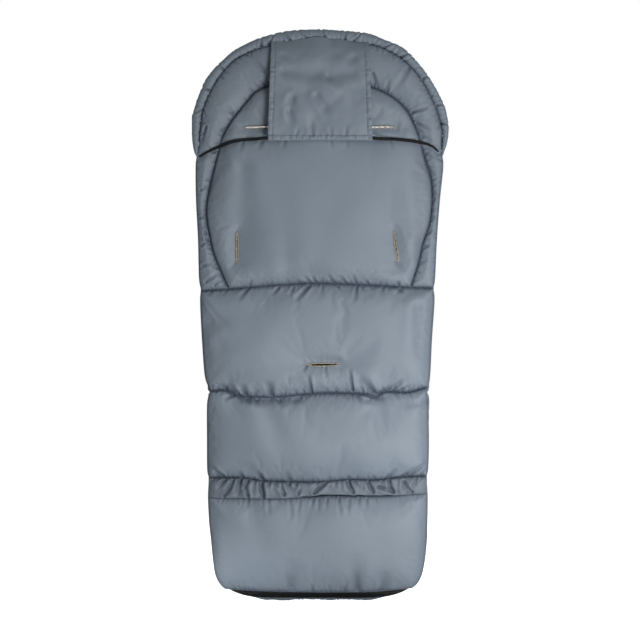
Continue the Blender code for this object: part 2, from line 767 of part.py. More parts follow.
def backrest_elastic(out, foot, shells):
    """Flat elastic from side seam to side seam, threaded through the flap's hem."""
    y_hem = -(out - 0.5 * FLAP_PLY - PLY_GAP - 0.5 * ELASTIC_THICK)
    z_hem = foot + 0.5 * FLAP_PLY + PLY_GAP + 0.5 * ELASTIC_WIDTH
    z_end = CASING_END_Z - ELASTIC_DROP
    x_start, x_end = FLAP_HALF + ELASTIC_LEAD, back_half(z_end) - ELASTIC_TUCK
    y_side = -(SURROUND_CROWN - 2.0 * ELASTIC_THICK)
    lift = 0.5 * ELASTIC_THICK + 2.0 * PLY_GAP
    depth = outside_of(shells)
    half = []
    for k in range(ELASTIC_STATIONS + 1):
        share = math.sin(0.5 * math.pi * (1.0 - k / ELASTIC_STATIONS))
        x = x_start + (x_end - x_start) * share
        z = z_hem + (z_end - z_hem) * share ** ELASTIC_BOW
        y = y_hem + (y_side - y_hem) * share if share < ELASTIC_TURN else 0.0
        for dx in (-ELASTIC_TUCK, 0.0, ELASTIC_TUCK):
            for dz in (-0.5 * ELASTIC_WIDTH, 0.0, 0.5 * ELASTIC_WIDTH):
                y = min(y, depth(x + dx, z + dz) - lift)
        half.append((x, y, z))
    route = [(-x, y, z) for x, y, z in half] + [(0.0, y_hem, z_hem)] + half[::-1]
    outer, inner = [], []
    for k, (x, y, z) in enumerate(route):
        x0, y0, _ = route[max(k - 1, 0)]
        x1, y1, _ = route[min(k + 1, len(route) - 1)]
        length = math.hypot(x1 - x0, y1 - y0)
        nx, ny = (y1 - y0) / length, -(x1 - x0) / length
        near, far = [], []
        for side in (0.5, -0.5):
            level = z + side * ELASTIC_WIDTH
            lift = 0.5 * ELASTIC_THICK
            near.append((x + nx * lift, y + ny * lift, level))
            far.append((x - nx * lift, y - ny * lift, level))
        outer.append(near)
        inner.append(far)
    layer("backrest_elastic", outer, inner, ELASTIC)


def storm_flap():
    """Gathered strip sewn along its top, and the black zip that it covers."""
    top, bottom = STORM_Z - SEAM_GAP, STORM_FOOT_Z + SEAM_GAP
    outer, inner = [], []
    for j, u in enumerate(spread(STORM_COLUMNS)):
        near, far = [], []
        for s in (0.0, 0.08, 0.22, 0.45, 0.7, 0.9, 1.0):
            z = top + (bottom - top) * s
            x = u * (side_half(z) - STORM_INSET)
            base = STORM_SEAM_Y + (STORM_BULGE - STORM_SEAM_Y) * edge_roll(s, 0.35)
            base -= STORM_TURN_IN * max(0.0, s - 0.6) / 0.4
            pleat = STORM_PLEAT * (j % 2) * edge_roll(s, 0.2)
            near.append((x, -base - pleat, z))
            far.append((x, -base - 0.5 * pleat + STORM_PLY, z))
        outer.append(near)
        inner.append(far)
    layer("storm_flap", outer, inner, SHELL_NYLON, (0.0, -STORM_SEAM_Y, top))

    half = side_half(STORM_Z - 0.5 * STORM_HEIGHT) - LENGTH_TAPE_INSET
    tape_back = -STACK_GAP
    tape_face = tape_back - LENGTH_TAPE
    middle = 0.5 * (top + bottom)
    outline = [(-half, bottom), (half, bottom), (half, top), (-half, top)]
    flat_sheet("length_zip_tape", outline, tape_face, tape_back, ZIP_CLOTH)
    low, high = middle - 0.5 * LENGTH_COIL_WIDTH, middle + 0.5 * LENGTH_COIL_WIDTH
    coil = [(-half, low), (half, low), (half, high), (-half, high)]
    coil_back = tape_face - PLY_GAP
    coil_face = coil_back - LENGTH_COIL_THICK
    flat_sheet("length_zip_coil", coil, coil_face, coil_back, ZIP_TEETH)
    length_slider(middle, tape_face, coil_face)


def length_slider(middle, tape_face, coil_face):
    """Slider of the hidden zip: a plate that straddles the coil, with its tab folded flat."""
    origin = (LENGTH_SLIDER_X, coil_face, middle)
    back = tape_face - PLY_GAP
    inner_face = coil_face - PLY_GAP
    outer_face = inner_face - SLIDER_PLATE
    wing = 0.5 * LENGTH_COIL_WIDTH + PLY_GAP
    edge = wing + SLIDER_PLATE
    run = 0.5 * SLIDER_LENGTH
    section = [(-edge, back), (-edge, outer_face), (edge, outer_face), (edge, back)]
    section += [(wing, back), (wing, inner_face), (-wing, inner_face), (-wing, back)]
    bm = bmesh.new()
    ends = []
    for x in (-run, run):
        ends.append([bm.verts.new((origin[0] + x, y, middle + z)) for z, y in section])
    bm.faces.new(ends[0])
    bm.faces.new(ends[1][::-1])
    for k in range(len(section)):
        n = (k + 1) % len(section)
        bm.faces.new((ends[0][k], ends[1][k], ends[1][n], ends[0][n]))
    add_object("length_zip_slider", bm, ZIP_METAL, origin)


def zip_half(z):
    return ZIP_TOP_HALF - ZIP_TAPER * (ZIP_TOP_Z - z)


def heel_turn(bottom, radius_x, radius_z, angle):
    """A point of the zip's lower corner, from the side at 0 to the foot end at 90 degrees."""
    z = bottom + radius_z * (1.0 - math.sin(angle))
    return zip_half(z) - radius_x * (1.0 - math.cos(angle)), z


def zip_edges(top, whole):
    """Back and front edge of the right half of the side zip, from the given level down."""
    turns = [math.radians(a) for a in (0, 20, 40, 58, 74, 90)]
    back = [(zip_half(top), top)]
    front = [(zip_half(top), top)]
    if whole:
        back += [heel_turn(ZIP_HEEL_Z, HEEL_CORNER, HEEL_CORNER, a) for a in turns]
        front += [heel_turn(ZIP_TOE_Z, TOE_CORNER_X, TOE_CORNER_Z, a) for a in turns]
    return back, front


def zip_strip(name, start, end, thick, finish, top, bottom=None, side=0):
    """One tape or coil: a strip between two shares of the way from back to front edge.

    Without a bottom it runs round the foot from one side to the other.
    """
    if bottom is None:
        back, front = zip_edges(top, True)
        back = [(-x, z) for x, z in back] + back[::-1]
        front = [(-x, z) for x, z in front] + front[::-1]
    else:
        back = [(side * zip_half(z), z) for z in (top, bottom)]
        front = back
    lines = []
    for (xb, zb), (xf, zf) in zip(back, front):
        near = Vector((xb, ZIP_BACK_Y, zb))
        far = Vector((xf, ZIP_FRONT_Y, zf))
        lines.append((near.lerp(far, start), near.lerp(far, end)))
    outer, inner = [], []
    for k, (a, b) in enumerate(lines):
        along = lines[min(k + 1, len(lines) - 1)][0] - lines[max(k - 1, 0)][0]
        out = along.cross(b - a).normalized()
        if k in (0, len(lines) - 1):
            out = Vector((out.x, 0.0, 0.0)).normalized()
        outer.append([tuple(a + out * 0.5 * thick), tuple(b + out * 0.5 * thick)])
        inner.append([tuple(a - out * 0.5 * thick), tuple(b - out * 0.5 * thick)])
    layer(name, outer, inner, finish)


def side_zip():
    """Tapes and coils: the back's pair, the cover's pairs and the pair round the foot."""
    depth = ZIP_FRONT_Y - ZIP_BACK_Y
    coil_back = (ZIP_MIDDLE_Y - 0.5 * ZIP_SPLIT - ZIP_COIL_WIDTH - ZIP_BACK_Y) / depth
    coil_back_end = (ZIP_MIDDLE_Y - 0.5 * ZIP_SPLIT - ZIP_BACK_Y) / depth
    coil_front = (ZIP_MIDDLE_Y + 0.5 * ZIP_SPLIT - ZIP_BACK_Y) / depth
    coil_front_end = (ZIP_MIDDLE_Y + 0.5 * ZIP_SPLIT + ZIP_COIL_WIDTH - ZIP_BACK_Y) / depth
    gap = PLY_GAP / depth
    foot_top = ANKLE_Z - SEAM_GAP
    zip_strip("zip_tape_back", 0.0, coil_back - gap, ZIP_TAPE, ZIP_CLOTH, ZIP_TOP_Z)
    zip_strip("zip_coil_back", coil_back, coil_back_end, ZIP_COIL, ZIP_TEETH, ZIP_TOP_Z)
    zip_strip("zip_coil_foot", coil_front, coil_front_end, ZIP_COIL, ZIP_TEETH, foot_top)
    zip_strip("zip_tape_foot", coil_front_end + gap, 1.0, ZIP_TAPE, ZIP_CLOTH, foot_top)
    for word, side in (("left", -1), ("right", 1)):
        zip_strip("zip_coil_cover_" + word, coil_front, coil_front_end, ZIP_COIL, ZIP_TEETH,
                  ZIP_TOP_Z, ANKLE_Z, side)
        zip_strip("zip_tape_cover_" + word, coil_front_end + gap, 1.0, ZIP_TAPE, ZIP_CLOTH,
                  ZIP_TOP_Z, ANKLE_Z, side)


def vault_row(half, depth, z):
    """One row of the cover's inside, from its left zip over the front to its right zip."""
    row = []
    for s in spread(COVER_COLUMNS):
        angle = 0.5 * math.pi * (1.0 + s)
        across, up = math.cos(angle), math.sin(angle)
        x = -half * math.copysign(abs(across) ** (2.0 / COVER_POWER), across)
        row.append(Vector((x, COVER_Y + depth * max(up, 0.0) ** (2.0 / COVER_POWER), z)))
    return row


def vault_rows(zs):
    return [vault_row(zip_half(z) - 0.5 * COVER_SEWN, COVER_DEPTH, z) for z in zs]


def toe_rows():
    """The cover below the ankle, which closes round the foot end."""
    corner_z = ZIP_TOE_Z + TOE_CORNER_Z
    rows = vault_rows(levels(ANKLE_Z - SEAM_GAP, corner_z, 4))
    for degrees in (22, 42, 60, 75, 86, 90):
        angle = math.radians(degrees)
        half, z = heel_turn(ZIP_TOE_Z, TOE_CORNER_X, TOE_CORNER_Z, angle)
        depth = COVER_DEPTH * (1.0 - math.sin(angle) ** COVER_POWER) ** (1.0 / COVER_POWER)
        rows.append(vault_row(half - 0.5 * COVER_SEWN, depth, z))
    return rows


def vault_normals(rows, level_rows):
    """Outward directions at the points of a vault, level over its straight rows."""
    normals = []
    for i, row in enumerate(rows):
        line = []
        for j in range(len(row)):
            across = row[min(j + 1, len(row) - 1)] - row[max(j - 1, 0)]
            down = rows[min(i + 1, len(rows) - 1)][j] - rows[max(i - 1, 0)][j]
            out = across.cross(down)
            if i < level_rows:
                out.z = 0.0
            line.append(out.normalized())
        normals.append(line)
    return normals


def cover_heights(rows, crown, closed_foot=False):
    """Thickness of a cover panel from the inside of its lining to its outer nylon."""
    top, bottom = rows[0][0].z, rows[-1][0].z
    heights = []
    for row in rows:
        tall, run = [], [0.0]
        for a, b in zip(row, row[1:]):
            run.append(run[-1] + (b - a).length)
        for j, p in enumerate(row):
            reach = min(run[j], run[-1] - run[j])
            low = p.z - bottom + (TOE_THINNING * (p.y - COVER_Y) if closed_foot else 0.0)
            rise = edge_roll(reach, COVER_SIDE_ROLL) * edge_roll(top - p.z, SEAM_ROLL)
            rise *= edge_roll(low, SEAM_ROLL)
            tall.append(COVER_SEWN + (crown - COVER_SEWN) * rise)
        heights.append(tall)
    return heights


def offset(rows, normals, heights, lower=0.0):
    return [[p + n * (h - lower) for p, n, h in zip(*line)] for line in zip(rows, normals, heights)]


def cover_quilt(name, rows, normals, heights):
    """Outer nylon and wadding of one panel of the cover."""
    floor = [[COVER_SEWN - NYLON] * len(row) for row in rows]
    layer(name + "_outer", offset(rows, normals, heights),
          offset(rows, normals, heights, NYLON), SHELL_NYLON)
    top = offset(rows, normals, heights, NYLON + PLY_GAP)
    base = offset(rows, normals, floor)
    layer(name + "_wadding", inside_rings(top), inside_rings(base), WADDING)


def cover_lining(name, rows, normals):
    face = [[0.0] * len(row) for row in rows]
    back = [[FLEECE] * len(row) for row in rows]
    layer(name, offset(rows, normals, back), offset(rows, normals, face), LINING_FLEECE)


def front_cover():
    """Cuff, chest, lap and shin panels above the ankle, and the toe box below it."""
    cuff = vault_rows([MOUTH_Z, MOUTH_Z - 0.3 * CUFF_HEIGHT, MOUTH_Z - 0.7 * CUFF_HEIGHT,
                       CHEST_Z + SEAM_GAP])
    normals = vault_normals(cuff, len(cuff))
    heights = []
    for i, row in enumerate(cuff):
        roll = CUFF_EDGE if i in (0, len(cuff) - 1) else 1.0
        heights.append([CUFF_CROWN * roll] * len(row))
    flat = [[0.0] * len(row) for row in cuff]
    layer("cover_cuff", offset(cuff, normals, heights), offset(cuff, normals, flat),
          LINING_FLEECE)

    spans = [("chest_panel", CHEST_Z, WAIST_Z, 6), ("lap_panel", WAIST_Z, KNEE_Z, 6),
             ("shin_panel", KNEE_Z, ANKLE_Z, 6)]
    levels_down = []
    for name, top, bottom, count in spans:
        foot = bottom if name == "shin_panel" else bottom + SEAM_GAP
        rows = vault_rows(levels(top, foot, count))
        normals = vault_normals(rows, len(rows))
        cover_quilt(name, rows, normals, cover_heights(rows, COVER_CROWN))
        levels_down += [top, 0.5 * (top + foot)]
    lining = vault_rows(levels_down + [ANKLE_Z])
    cover_lining("cover_lining", lining, vault_normals(lining, len(lining)))

    rows = toe_rows()
    normals = vault_normals(rows, 5)
    cover_quilt("toe_panel", rows, normals, cover_heights(rows, COVER_CROWN, True))
    cover_lining("toe_lining", rows, normals)


def box(bm, low, high):
    made = bmesh.ops.create_cube(bm, size=1.0)
    size = Vector(high) - Vector(low)
    middle = 0.5 * (Vector(high) + Vector(low))
    matrix = Matrix.Translation(middle) @ Matrix.Diagonal((*size, 1.0))
    bmesh.ops.transform(bm, matrix=matrix, verts=made["verts"])


def box_object(name, low, high, finish=None):
    bm = bmesh.new()
    box(bm, low, high)
    return add_object(name, bm, finish)


def slider_profile():
    """Distance of the outer plate's face and of the bridge's bar from the zip's middle."""
    plate = 0.5 * ZIP_COIL + SLIDER_PLAY + SLIDER_PLATE
    bar = plate + BRIDGE_CLEAR
    return plate, bar


def zip_slider(word, side):
    """Slider and puller of one side, on an empty that leans with the zip."""
    plate, bar = slider_profile()
    inside = plate - SLIDER_PLATE
    wide, long = 0.5 * SLIDER_WIDTH, 0.5 * SLIDER_LENGTH
    carrier = bpy.data.objects.new("zip_carrier_" + word, None)
    carrier.location = (side * zip_half(SLIDER_Z), ZIP_MIDDLE_Y, SLIDER_Z)
    carrier.rotation_euler = (0.0, side * math.atan(ZIP_TAPER), 0.0)
    bpy.context.scene.collection.objects.link(carrier)

    def sided(low, high):
        xs = sorted((side * low[0], side * high[0]))
        return (xs[0], low[1], low[2]), (xs[1], high[1], high[2])

    slider = box_object("zip_slider_" + word, *sided((inside, -wide, -long), (plate, wide, long)),
                        ZIP_METAL)
    slider.parent = carrier
    sink = 0.3 * SLIDER_PLATE
    post = 0.5 * POST_THICK
    half = 0.5 * BRIDGE_WIDTH
    pieces = [
        ("inner_plate", (-plate, -wide, -long), (-inside, wide, long)),
        ("post", (-inside - sink, -post, 0.4 * long), (inside + sink, post, 0.9 * long)),
    ]
    for name, low, high in pieces:
        tool = box_object("tool_%s_%s" % (name, word), *sided(low, high))
        tool.hide_render = True
        tool.display_type = "WIRE"
        tool.parent = carrier
        combine(slider, tool, "UNION")
    outline = [(plate - sink, BRIDGE_TOP), (bar + BRIDGE_BAR, BRIDGE_TOP),
               (bar + BRIDGE_BAR, BRIDGE_FOOT), (plate - sink, BRIDGE_FOOT),
               (plate - sink, BRIDGE_FOOT + BRIDGE_BAR), (bar, BRIDGE_FOOT + BRIDGE_BAR),
               (bar, BRIDGE_TOP - BRIDGE_BAR), (plate - sink, BRIDGE_TOP - BRIDGE_BAR)]
    bm = bmesh.new()
    ends = [[bm.verts.new((side * x, y, z)) for x, z in outline] for y in (-half, half)]
    bm.faces.new(ends[0])
    bm.faces.new(ends[1][::-1])
    for k in range(len(outline)):
        n = (k + 1) % len(outline)
        bm.faces.new((ends[0][k], ends[1][k], ends[1][n], ends[0][n]))
    bridge = add_cutter("tool_bridge_" + word, bm)
    bridge.parent = carrier
    combine(slider, bridge, "UNION")

    pivot_x = side * (plate + 0.5 * (BRIDGE_CLEAR))
    thick, across = 0.5 * PULLER_THICK, 0.5 * PULLER_WIDTH
    top = 0.5 * PULLER_BAR
    taper = PULLER_SHOULDER * across
    shape = [(-taper, top), (taper, top), (across, top - 0.6 * PULLER_HOLE),
             (across, top - PULLER_LENGTH + taper), (0.5 * across, top - PULLER_LENGTH),
             (-0.5 * across, top - PULLER_LENGTH), (-across, top - PULLER_LENGTH + taper),
             (-across, top - 0.6 * PULLER_HOLE)]
    bm = bmesh.new()
    ends = [[bm.verts.new((x, y, z)) for y, z in shape] for x in (-thick, thick)]
    bm.faces.new(ends[0])
    bm.faces.new(ends[1][::-1])
    for k in range(len(shape)):
        n = (k + 1) % len(shape)
        bm.faces.new((ends[0][k], ends[1][k], ends[1][n], ends[0][n]))
    puller = add_object("zip_puller_" + word, bm, ZIP_METAL)
    puller.location = (pivot_x, 0.0, PULLER_PIVOT_Z)
    puller.parent = carrier
    hole = box_object("tool_hole_" + word, (-2.0 * thick, -half - 2.0 * PLY_GAP, -top - PULLER_HOLE),
                      (2.0 * thick, half + 2.0 * PLY_GAP, -top))
    hole.location = puller.location
    hole.hide_render = True
    hole.display_type = "WIRE"
    hole.parent = carrier
    combine(puller, hole, "DIFFERENCE")


def hang_cover():
    """Carry every piece of the cover above the ankle on an empty that lies on its fold."""
    fold = bpy.data.objects.new("cover_fold_axis", None)
    fold.location = (0.0, FOLD_Y, ANKLE_Z)
    bpy.context.scene.collection.objects.link(fold)
    names = ["cover_cuff", "cover_lining"]
    names += [panel + "_panel_" + part for panel in ("chest", "lap", "shin")
              for part in ("outer", "wadding")]
    names += ["zip_" + part + "_cover_" + side for part in ("tape", "coil")
              for side in ("left", "right")]
    for name in names:
        piece = bpy.data.objects[name]
        piece.parent = fold
        piece.location = -fold.location


def build():
    clear_scene()
    panels = back_panels()
    lining = flat_sheet("back_lining", outline_loop(), 0.0, FLEECE, LINING_FLEECE)
    places = slot_places()
    cut_slots([*panels["centre"], lining], places[:4])
    cut_slots([*panels["seat"], lining], places[4:])
    slot_bindings()
    hood_casing()
    out, foot = backrest_flap()
    backrest_elastic(out, foot, [panels["surround"][0], panels["centre"][0]])
    storm_flap()
    side_zip()
    front_cover()
    hang_cover()
    zip_slider("left", -1)
    zip_slider("right", 1)


build()
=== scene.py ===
"""Looks of a quilted winter footmuff for a pushchair, seen from its back.

Metres, +Z up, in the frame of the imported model. The muff's back faces -Y and its cover +Y.
"""
import math

import bmesh
import bpy
import numpy as np
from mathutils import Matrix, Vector, noise
from mathutils.bvhtree import BVHTree
from mathutils.geometry import delaunay_2d_cdt


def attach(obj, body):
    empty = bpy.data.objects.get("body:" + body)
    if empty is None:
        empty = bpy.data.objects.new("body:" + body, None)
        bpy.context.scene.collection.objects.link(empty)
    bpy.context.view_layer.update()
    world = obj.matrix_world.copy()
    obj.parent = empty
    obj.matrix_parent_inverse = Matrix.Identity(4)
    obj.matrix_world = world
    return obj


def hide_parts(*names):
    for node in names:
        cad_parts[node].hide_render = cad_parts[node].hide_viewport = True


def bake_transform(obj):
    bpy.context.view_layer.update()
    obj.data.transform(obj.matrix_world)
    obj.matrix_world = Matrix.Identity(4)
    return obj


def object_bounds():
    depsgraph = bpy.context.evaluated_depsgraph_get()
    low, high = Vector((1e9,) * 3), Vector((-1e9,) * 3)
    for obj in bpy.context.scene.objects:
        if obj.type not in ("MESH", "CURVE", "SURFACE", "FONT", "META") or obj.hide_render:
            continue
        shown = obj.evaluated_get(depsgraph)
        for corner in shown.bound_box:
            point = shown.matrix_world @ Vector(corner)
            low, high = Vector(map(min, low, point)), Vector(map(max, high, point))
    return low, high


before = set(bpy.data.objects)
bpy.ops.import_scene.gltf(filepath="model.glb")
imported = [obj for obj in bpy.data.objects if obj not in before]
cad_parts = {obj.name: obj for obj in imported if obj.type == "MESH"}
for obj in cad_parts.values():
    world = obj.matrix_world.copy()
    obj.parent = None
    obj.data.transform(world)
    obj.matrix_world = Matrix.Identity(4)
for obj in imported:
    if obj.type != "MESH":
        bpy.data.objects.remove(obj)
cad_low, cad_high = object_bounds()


# Studio. A pale floor lies just under the foot end and a white surround shows behind the muff.
# The main soft lamp stands close by in front, low down to the right, so the lower and right
# slopes are the lighter ones. The camera looks square on at the back through a long lens.
VIEW_X = 0.0027
VIEW_Z = -0.4944
VIEW_HEIGHT = 1.134
CAMERA_AWAY = 5.5
SENSOR = 36.0
FLOOR_DROP = 0.012

bpy.ops.object.select_all(action="DESELECT")
bpy.ops.object.camera_add(location=(VIEW_X, -CAMERA_AWAY, VIEW_Z), rotation=(math.radians(90.0), 0.0, 0.0))
camera = bpy.context.object
camera.data.sensor_width = SENSOR
camera.data.lens = SENSOR * CAMERA_AWAY / VIEW_HEIGHT
bpy.context.scene.camera = camera
bpy.context.scene.view_settings.view_transform = "Standard"

bpy.ops.mesh.primitive_plane_add(size=16.0, location=(0.0, 0.0, cad_low.z - FLOOR_DROP))
floor = bpy.context.object
floor.name = "studio_floor"


def add_node(tree, kind, **values):
    """A shader node. Settings are in small letters, inputs are values or sockets, such as To_Min."""
    node = tree.nodes.new("ShaderNode" + kind)
    for word, value in values.items():
        if word.islower():
            setattr(node, word, value)
        elif isinstance(value, bpy.types.NodeSocket):
            tree.links.new(value, node.inputs[word.replace("_", " ")])
        else:
            node.inputs[word.replace("_", " ")].default_value = value
    return node


def math_of(tree, operation, first, second):
    """Output of a Math node of a socket and a socket or number."""
    node = add_node(tree, "Math", operation=operation)
    tree.links.new(first, node.inputs[0])
    if isinstance(second, float):
        node.inputs[1].default_value = second
    else:
        tree.links.new(second, node.inputs[1])
    return node.outputs[0]


def new_finish(name, **looks):
    """A material and its tree, with constants on the shader's own sockets."""
    material = bpy.data.materials.new(name)
    material.use_nodes = True
    shader = material.node_tree.nodes["Principled BSDF"]
    for word, value in looks.items():
        shader.inputs[word.replace("_", " ")].default_value = value
    return material, material.node_tree


WHITE = (1.0, 1.0, 1.0, 1.0)
floor_paint, tree = new_finish("pale_floor", Base_Color=(0.88, 0.88, 0.88, 1.0), Roughness=0.9,
                               Emission_Color=WHITE)
rays = add_node(tree, "LightPath").outputs
tree.links.new(math_of(tree, "MULTIPLY", rays["Is Camera Ray"], 0.87),
               tree.nodes["Principled BSDF"].inputs["Emission Strength"])
floor.data.materials.append(floor_paint)

world = bpy.data.worlds.new("studio_world")
bpy.context.scene.world = world
world.use_nodes = True
tree = world.node_tree
rays = add_node(tree, "LightPath").outputs
mirrored = math_of(tree, "MAXIMUM", rays["Is Glossy Ray"], rays["Is Transmission Ray"])
seen = math_of(tree, "MAXIMUM", rays["Is Camera Ray"], math_of(tree, "MULTIPLY", mirrored, 0.55))
level = add_node(tree, "MapRange", To_Min=0.15, To_Max=1.0, Value=seen)
tree.nodes["Background"].inputs["Color"].default_value = WHITE
tree.links.new(level.outputs["Result"], tree.nodes["Background"].inputs["Strength"])


def add_lamp(name, place, aim, width, height, power, spread=180.0):
    """One softbox that points at a spot on the muff."""
    bpy.ops.object.light_add(type="AREA", location=place)
    lamp = bpy.context.object
    lamp.name = name
    lamp.data.shape = "RECTANGLE"
    lamp.data.size = width
    lamp.data.size_y = height
    lamp.data.energy = power
    lamp.data.spread = math.radians(spread)
    lamp.visible_camera = False
    lamp.rotation_euler = (Vector(aim) - Vector(place)).to_track_quat("-Z", "Y").to_euler()


add_lamp("key_lamp", (0.42, -0.88, -0.84), (0.14, 0.0, -0.62), 0.46, 0.24, 2.1, 112.0)
add_lamp("side_lamp", (0.62, -1.30, -0.20), (0.02, 0.0, -0.14), 0.5, 0.5, 8.0)
add_lamp("heel_lamp", (-0.50, -0.45, -0.94), (-0.14, 0.0, -0.98), 0.1, 0.08, 0.05, 30.0)
add_lamp("front_lamp", (1.1, 2.1, 0.4), (0.0, 0.0, -0.5), 1.4, 1.4, 42.0)


# Back panels. The back is one layer of satin nylon over polyester wadding, quilted down to the
# fleece along the arch, the waist and the knee. Each panel is blown up between its pinned seams
# as cloth, and the spare nylon then lies in folds that run off from the stitching.
NET_STEPS = [(0.0, 0.013, 0.0023), (0.013, 0.030, 0.0034), (0.030, 1.0, 0.0052)]
SEAM_DEPTH = 0.0016
BASE_DEPTH = 0.0004
SEAM_GAP = 0.0002
PUSH_MOST = 0.009
UNDERSIDE_GAP = 0.0035
# Colour the nylon is multiplied towards where its painted shade is full, in creases, seams and round slots.
PAINTED_SHADE_COLOUR = (0.42, 0.44, 0.50, 1.0)
NYLON_DARK = (0.170, 0.209, 0.255)
NYLON_LIGHT = (0.212, 0.259, 0.307)


def tenths(*rows):
    """Rows of sizes that are written in tenths of a millimetre, in metres."""
    return [tuple(size / 10000.0 for size in row) for row in rows]


WAIST_SEAM = tenths(
    (-2200, -4436), (-1586, -4395), (-540, -4310), (-44, -4292), (895, -4324), (1444, -4359), (2200, -4380))
KNEE_SEAM = tenths(
    (-2200, -6205), (-1887, -6202), (-1675, -6184), (-1480, -6273), (-1143, -6308), (-735, -6308),
    (-168, -6255), (186, -6237), (806, -6255), (1019, -6291), (1178, -6215), (1586, -6220), (1940, -6131),
    (2200, -6120))
STRIP_SEAM = tenths(
    (-2200, -7744), (-1374, -7744), (-930, -7797), (-44, -7815), (505, -7775), (1019, -7779), (1462, -7730),
    (2200, -7700))
FOOT_TOP = tenths(
    (-2200, -8066), (-900, -8078), (-540, -8080), (-186, -8081), (186, -8052), (434, -8058), (900, -8060),
    (1178, -8056), (1400, -8040), (1600, -8012), (2200, -7992))
FOOT_EDGE = tenths(
    (-1657, -9706), (-1214, -9742), (-328, -9768), (300, -9772), (913, -9764), (1355, -9730), (1657, -9693))
LEFT_SIDE = tenths(
    (-2119, -1754), (-2124, -1900), (-2160, -2060), (-2178, -2250), (-2171, -2817), (-2135, -3526),
    (-2118, -4200), (-2085, -4400), (-2098, -4620), (-2065, -5298), (-2013, -5950), (-1925, -6195),
    (-1974, -6420), (-1976, -7070), (-1972, -7600), (-1945, -7744), (-1958, -8062), (-1940, -8500),
    (-1905, -8842), (-1869, -9197), (-1825, -9462), (-1745, -9622), (-1657, -9706))
RIGHT_SIDE = tenths(
    (2195, -1595), (2180, -1900), (2203, -2080), (2212, -2250), (2153, -2817), (2100, -3526), (2068, -4200),
    (2040, -4380), (2058, -4600), (2011, -5298), (1978, -5950), (1925, -6140), (1942, -6361), (1958, -7070),
    (1945, -7580), (1918, -7720), (1935, -8062), (1932, -8500), (1923, -8842), (1887, -9197), (1830, -9462),
    (1745, -9622), (1657, -9693))
HOOD_SEAM = tenths(
    (-2119, -1754), (-2082, -1400), (-2029, -1152), (-1834, -744), (-1551, -390), (-1230, -200), (-859, -85),
    (0, 0), (913, -62), (1249, -180), (1551, -372), (1816, -673), (2047, -1099), (2140, -1364),
    (2195, -1595))
ARCH_SEAM = tenths(
    (-1595, -4395), (-1733, -4076), (-1852, -3782), (-1930, -3450), (-1990, -3040), (-1940, -2640),
    (-1834, -2197), (-1763, -1931), (-1692, -1683), (-1586, -1488), (-1462, -1311), (-1285, -1099),
    (-1108, -900), (-850, -800), (-430, -715), (0, -690), (450, -715), (930, -815), (1302, -992),
    (1551, -1223), (1692, -1488), (1799, -1772), (1896, -2135), (1985, -2428), (2011, -2724), (1999, -3012),
    (1955, -3278), (1852, -3576), (1780, -3900), (1660, -4281), (1640, -4370))
ELASTIC_LINE = tenths(
    (-2110, -2056), (-1958, -1967), (-1763, -1878), (-1480, -1781), (-1037, -1744), (0, -1740), (0, -1740),
    (1037, -1742), (1356, -1746), (1799, -1799), (2011, -1868), (2125, -1965))


def smooth_line(points, step):
    """A Catmull-Rom curve through the points, with a point about every step."""
    ends = [Vector(points[0]) * 2.0 - Vector(points[1]), *map(Vector, points),
            Vector(points[-1]) * 2.0 - Vector(points[-2])]
    line = []
    for a, b, c, d in zip(ends, ends[1:], ends[2:], ends[3:]):
        count = max(1, round((c - b).length / step))
        for k in range(count):
            t = k / count
            line.append(0.5 * (2.0 * b + (c - a) * t + (2.0 * a - 5.0 * b + 4.0 * c - d) * t * t
                               + (3.0 * b - a - 3.0 * c + d) * t ** 3))
    return [tuple(p) for p in line] + [tuple(points[-1])]


def seam_between(seam, x_start, x_end, shift=0.0):
    """A stretch of a cross seam from one x to the other, moved by shift along Z."""
    count = max(2, round(abs(x_end - x_start) / 0.0025))
    line = np.array(smooth_line(seam, 0.005))
    xs = np.linspace(x_start, x_end, count + 1)
    return [(x, z + shift) for x, z in zip(xs, np.interp(xs, line[:, 0], line[:, 1]))]


def side_between(side, z_start, z_end):
    """A stretch of the muff's side edge between two levels."""
    line = np.array(smooth_line(side, 0.005))[::-1]
    count = max(2, round(abs(z_end - z_start) / 0.0025))
    zs = np.linspace(z_start, z_end, count + 1)
    return [(x, z) for z, x in zip(zs, np.interp(zs, line[:, 1], line[:, 0]))]


def side_at(side, z):
    """The side edge's x at a level."""
    return side_between(side, z, z - 0.003)[0][0]


def even_loop(points, step):
    """A closed outline with a point about every step."""
    loop = []
    closed = [Vector(p) for p in points]
    for a, b in zip(closed, closed[1:] + closed[:1]):
        if (b - a).length < 0.2 * step:
            continue
        count = max(1, round((b - a).length / step))
        loop += [tuple(a.lerp(b, k / count)) for k in range(count)]
    return loop


def inside_edges(points, edges):
    """Which points of an array lie inside a border, given by its edges."""
    x, y = points[:, 0], points[:, 1]
    inside = np.zeros(len(points), bool)
    for (x0, y0), (x1, y1) in edges:
        if y0 != y1:
            inside ^= ((y0 > y) != (y1 > y)) & (x < (x1 - x0) * (y - y0) / (y1 - y0) + x0)
    return inside


def inside_loop(points, loop):
    """Which points of an array lie inside a closed outline."""
    return inside_edges(points, zip(loop, np.roll(loop, -1, axis=0)))


def turned_left(plan, faces):
    """Twice the area of each triangle, above 0 where it turns left."""
    a, b, c = plan[faces[:, 0]], plan[faces[:, 1]], plan[faces[:, 2]]
    return (b - a)[:, 0] * (c - a)[:, 1] - (b - a)[:, 1] * (c - a)[:, 0]


def reach_along(points):
    """Distance of each point of a line from its start, along the line."""
    return np.concatenate([[0.0], np.cumsum(np.linalg.norm(np.diff(points, axis=0), axis=1))])


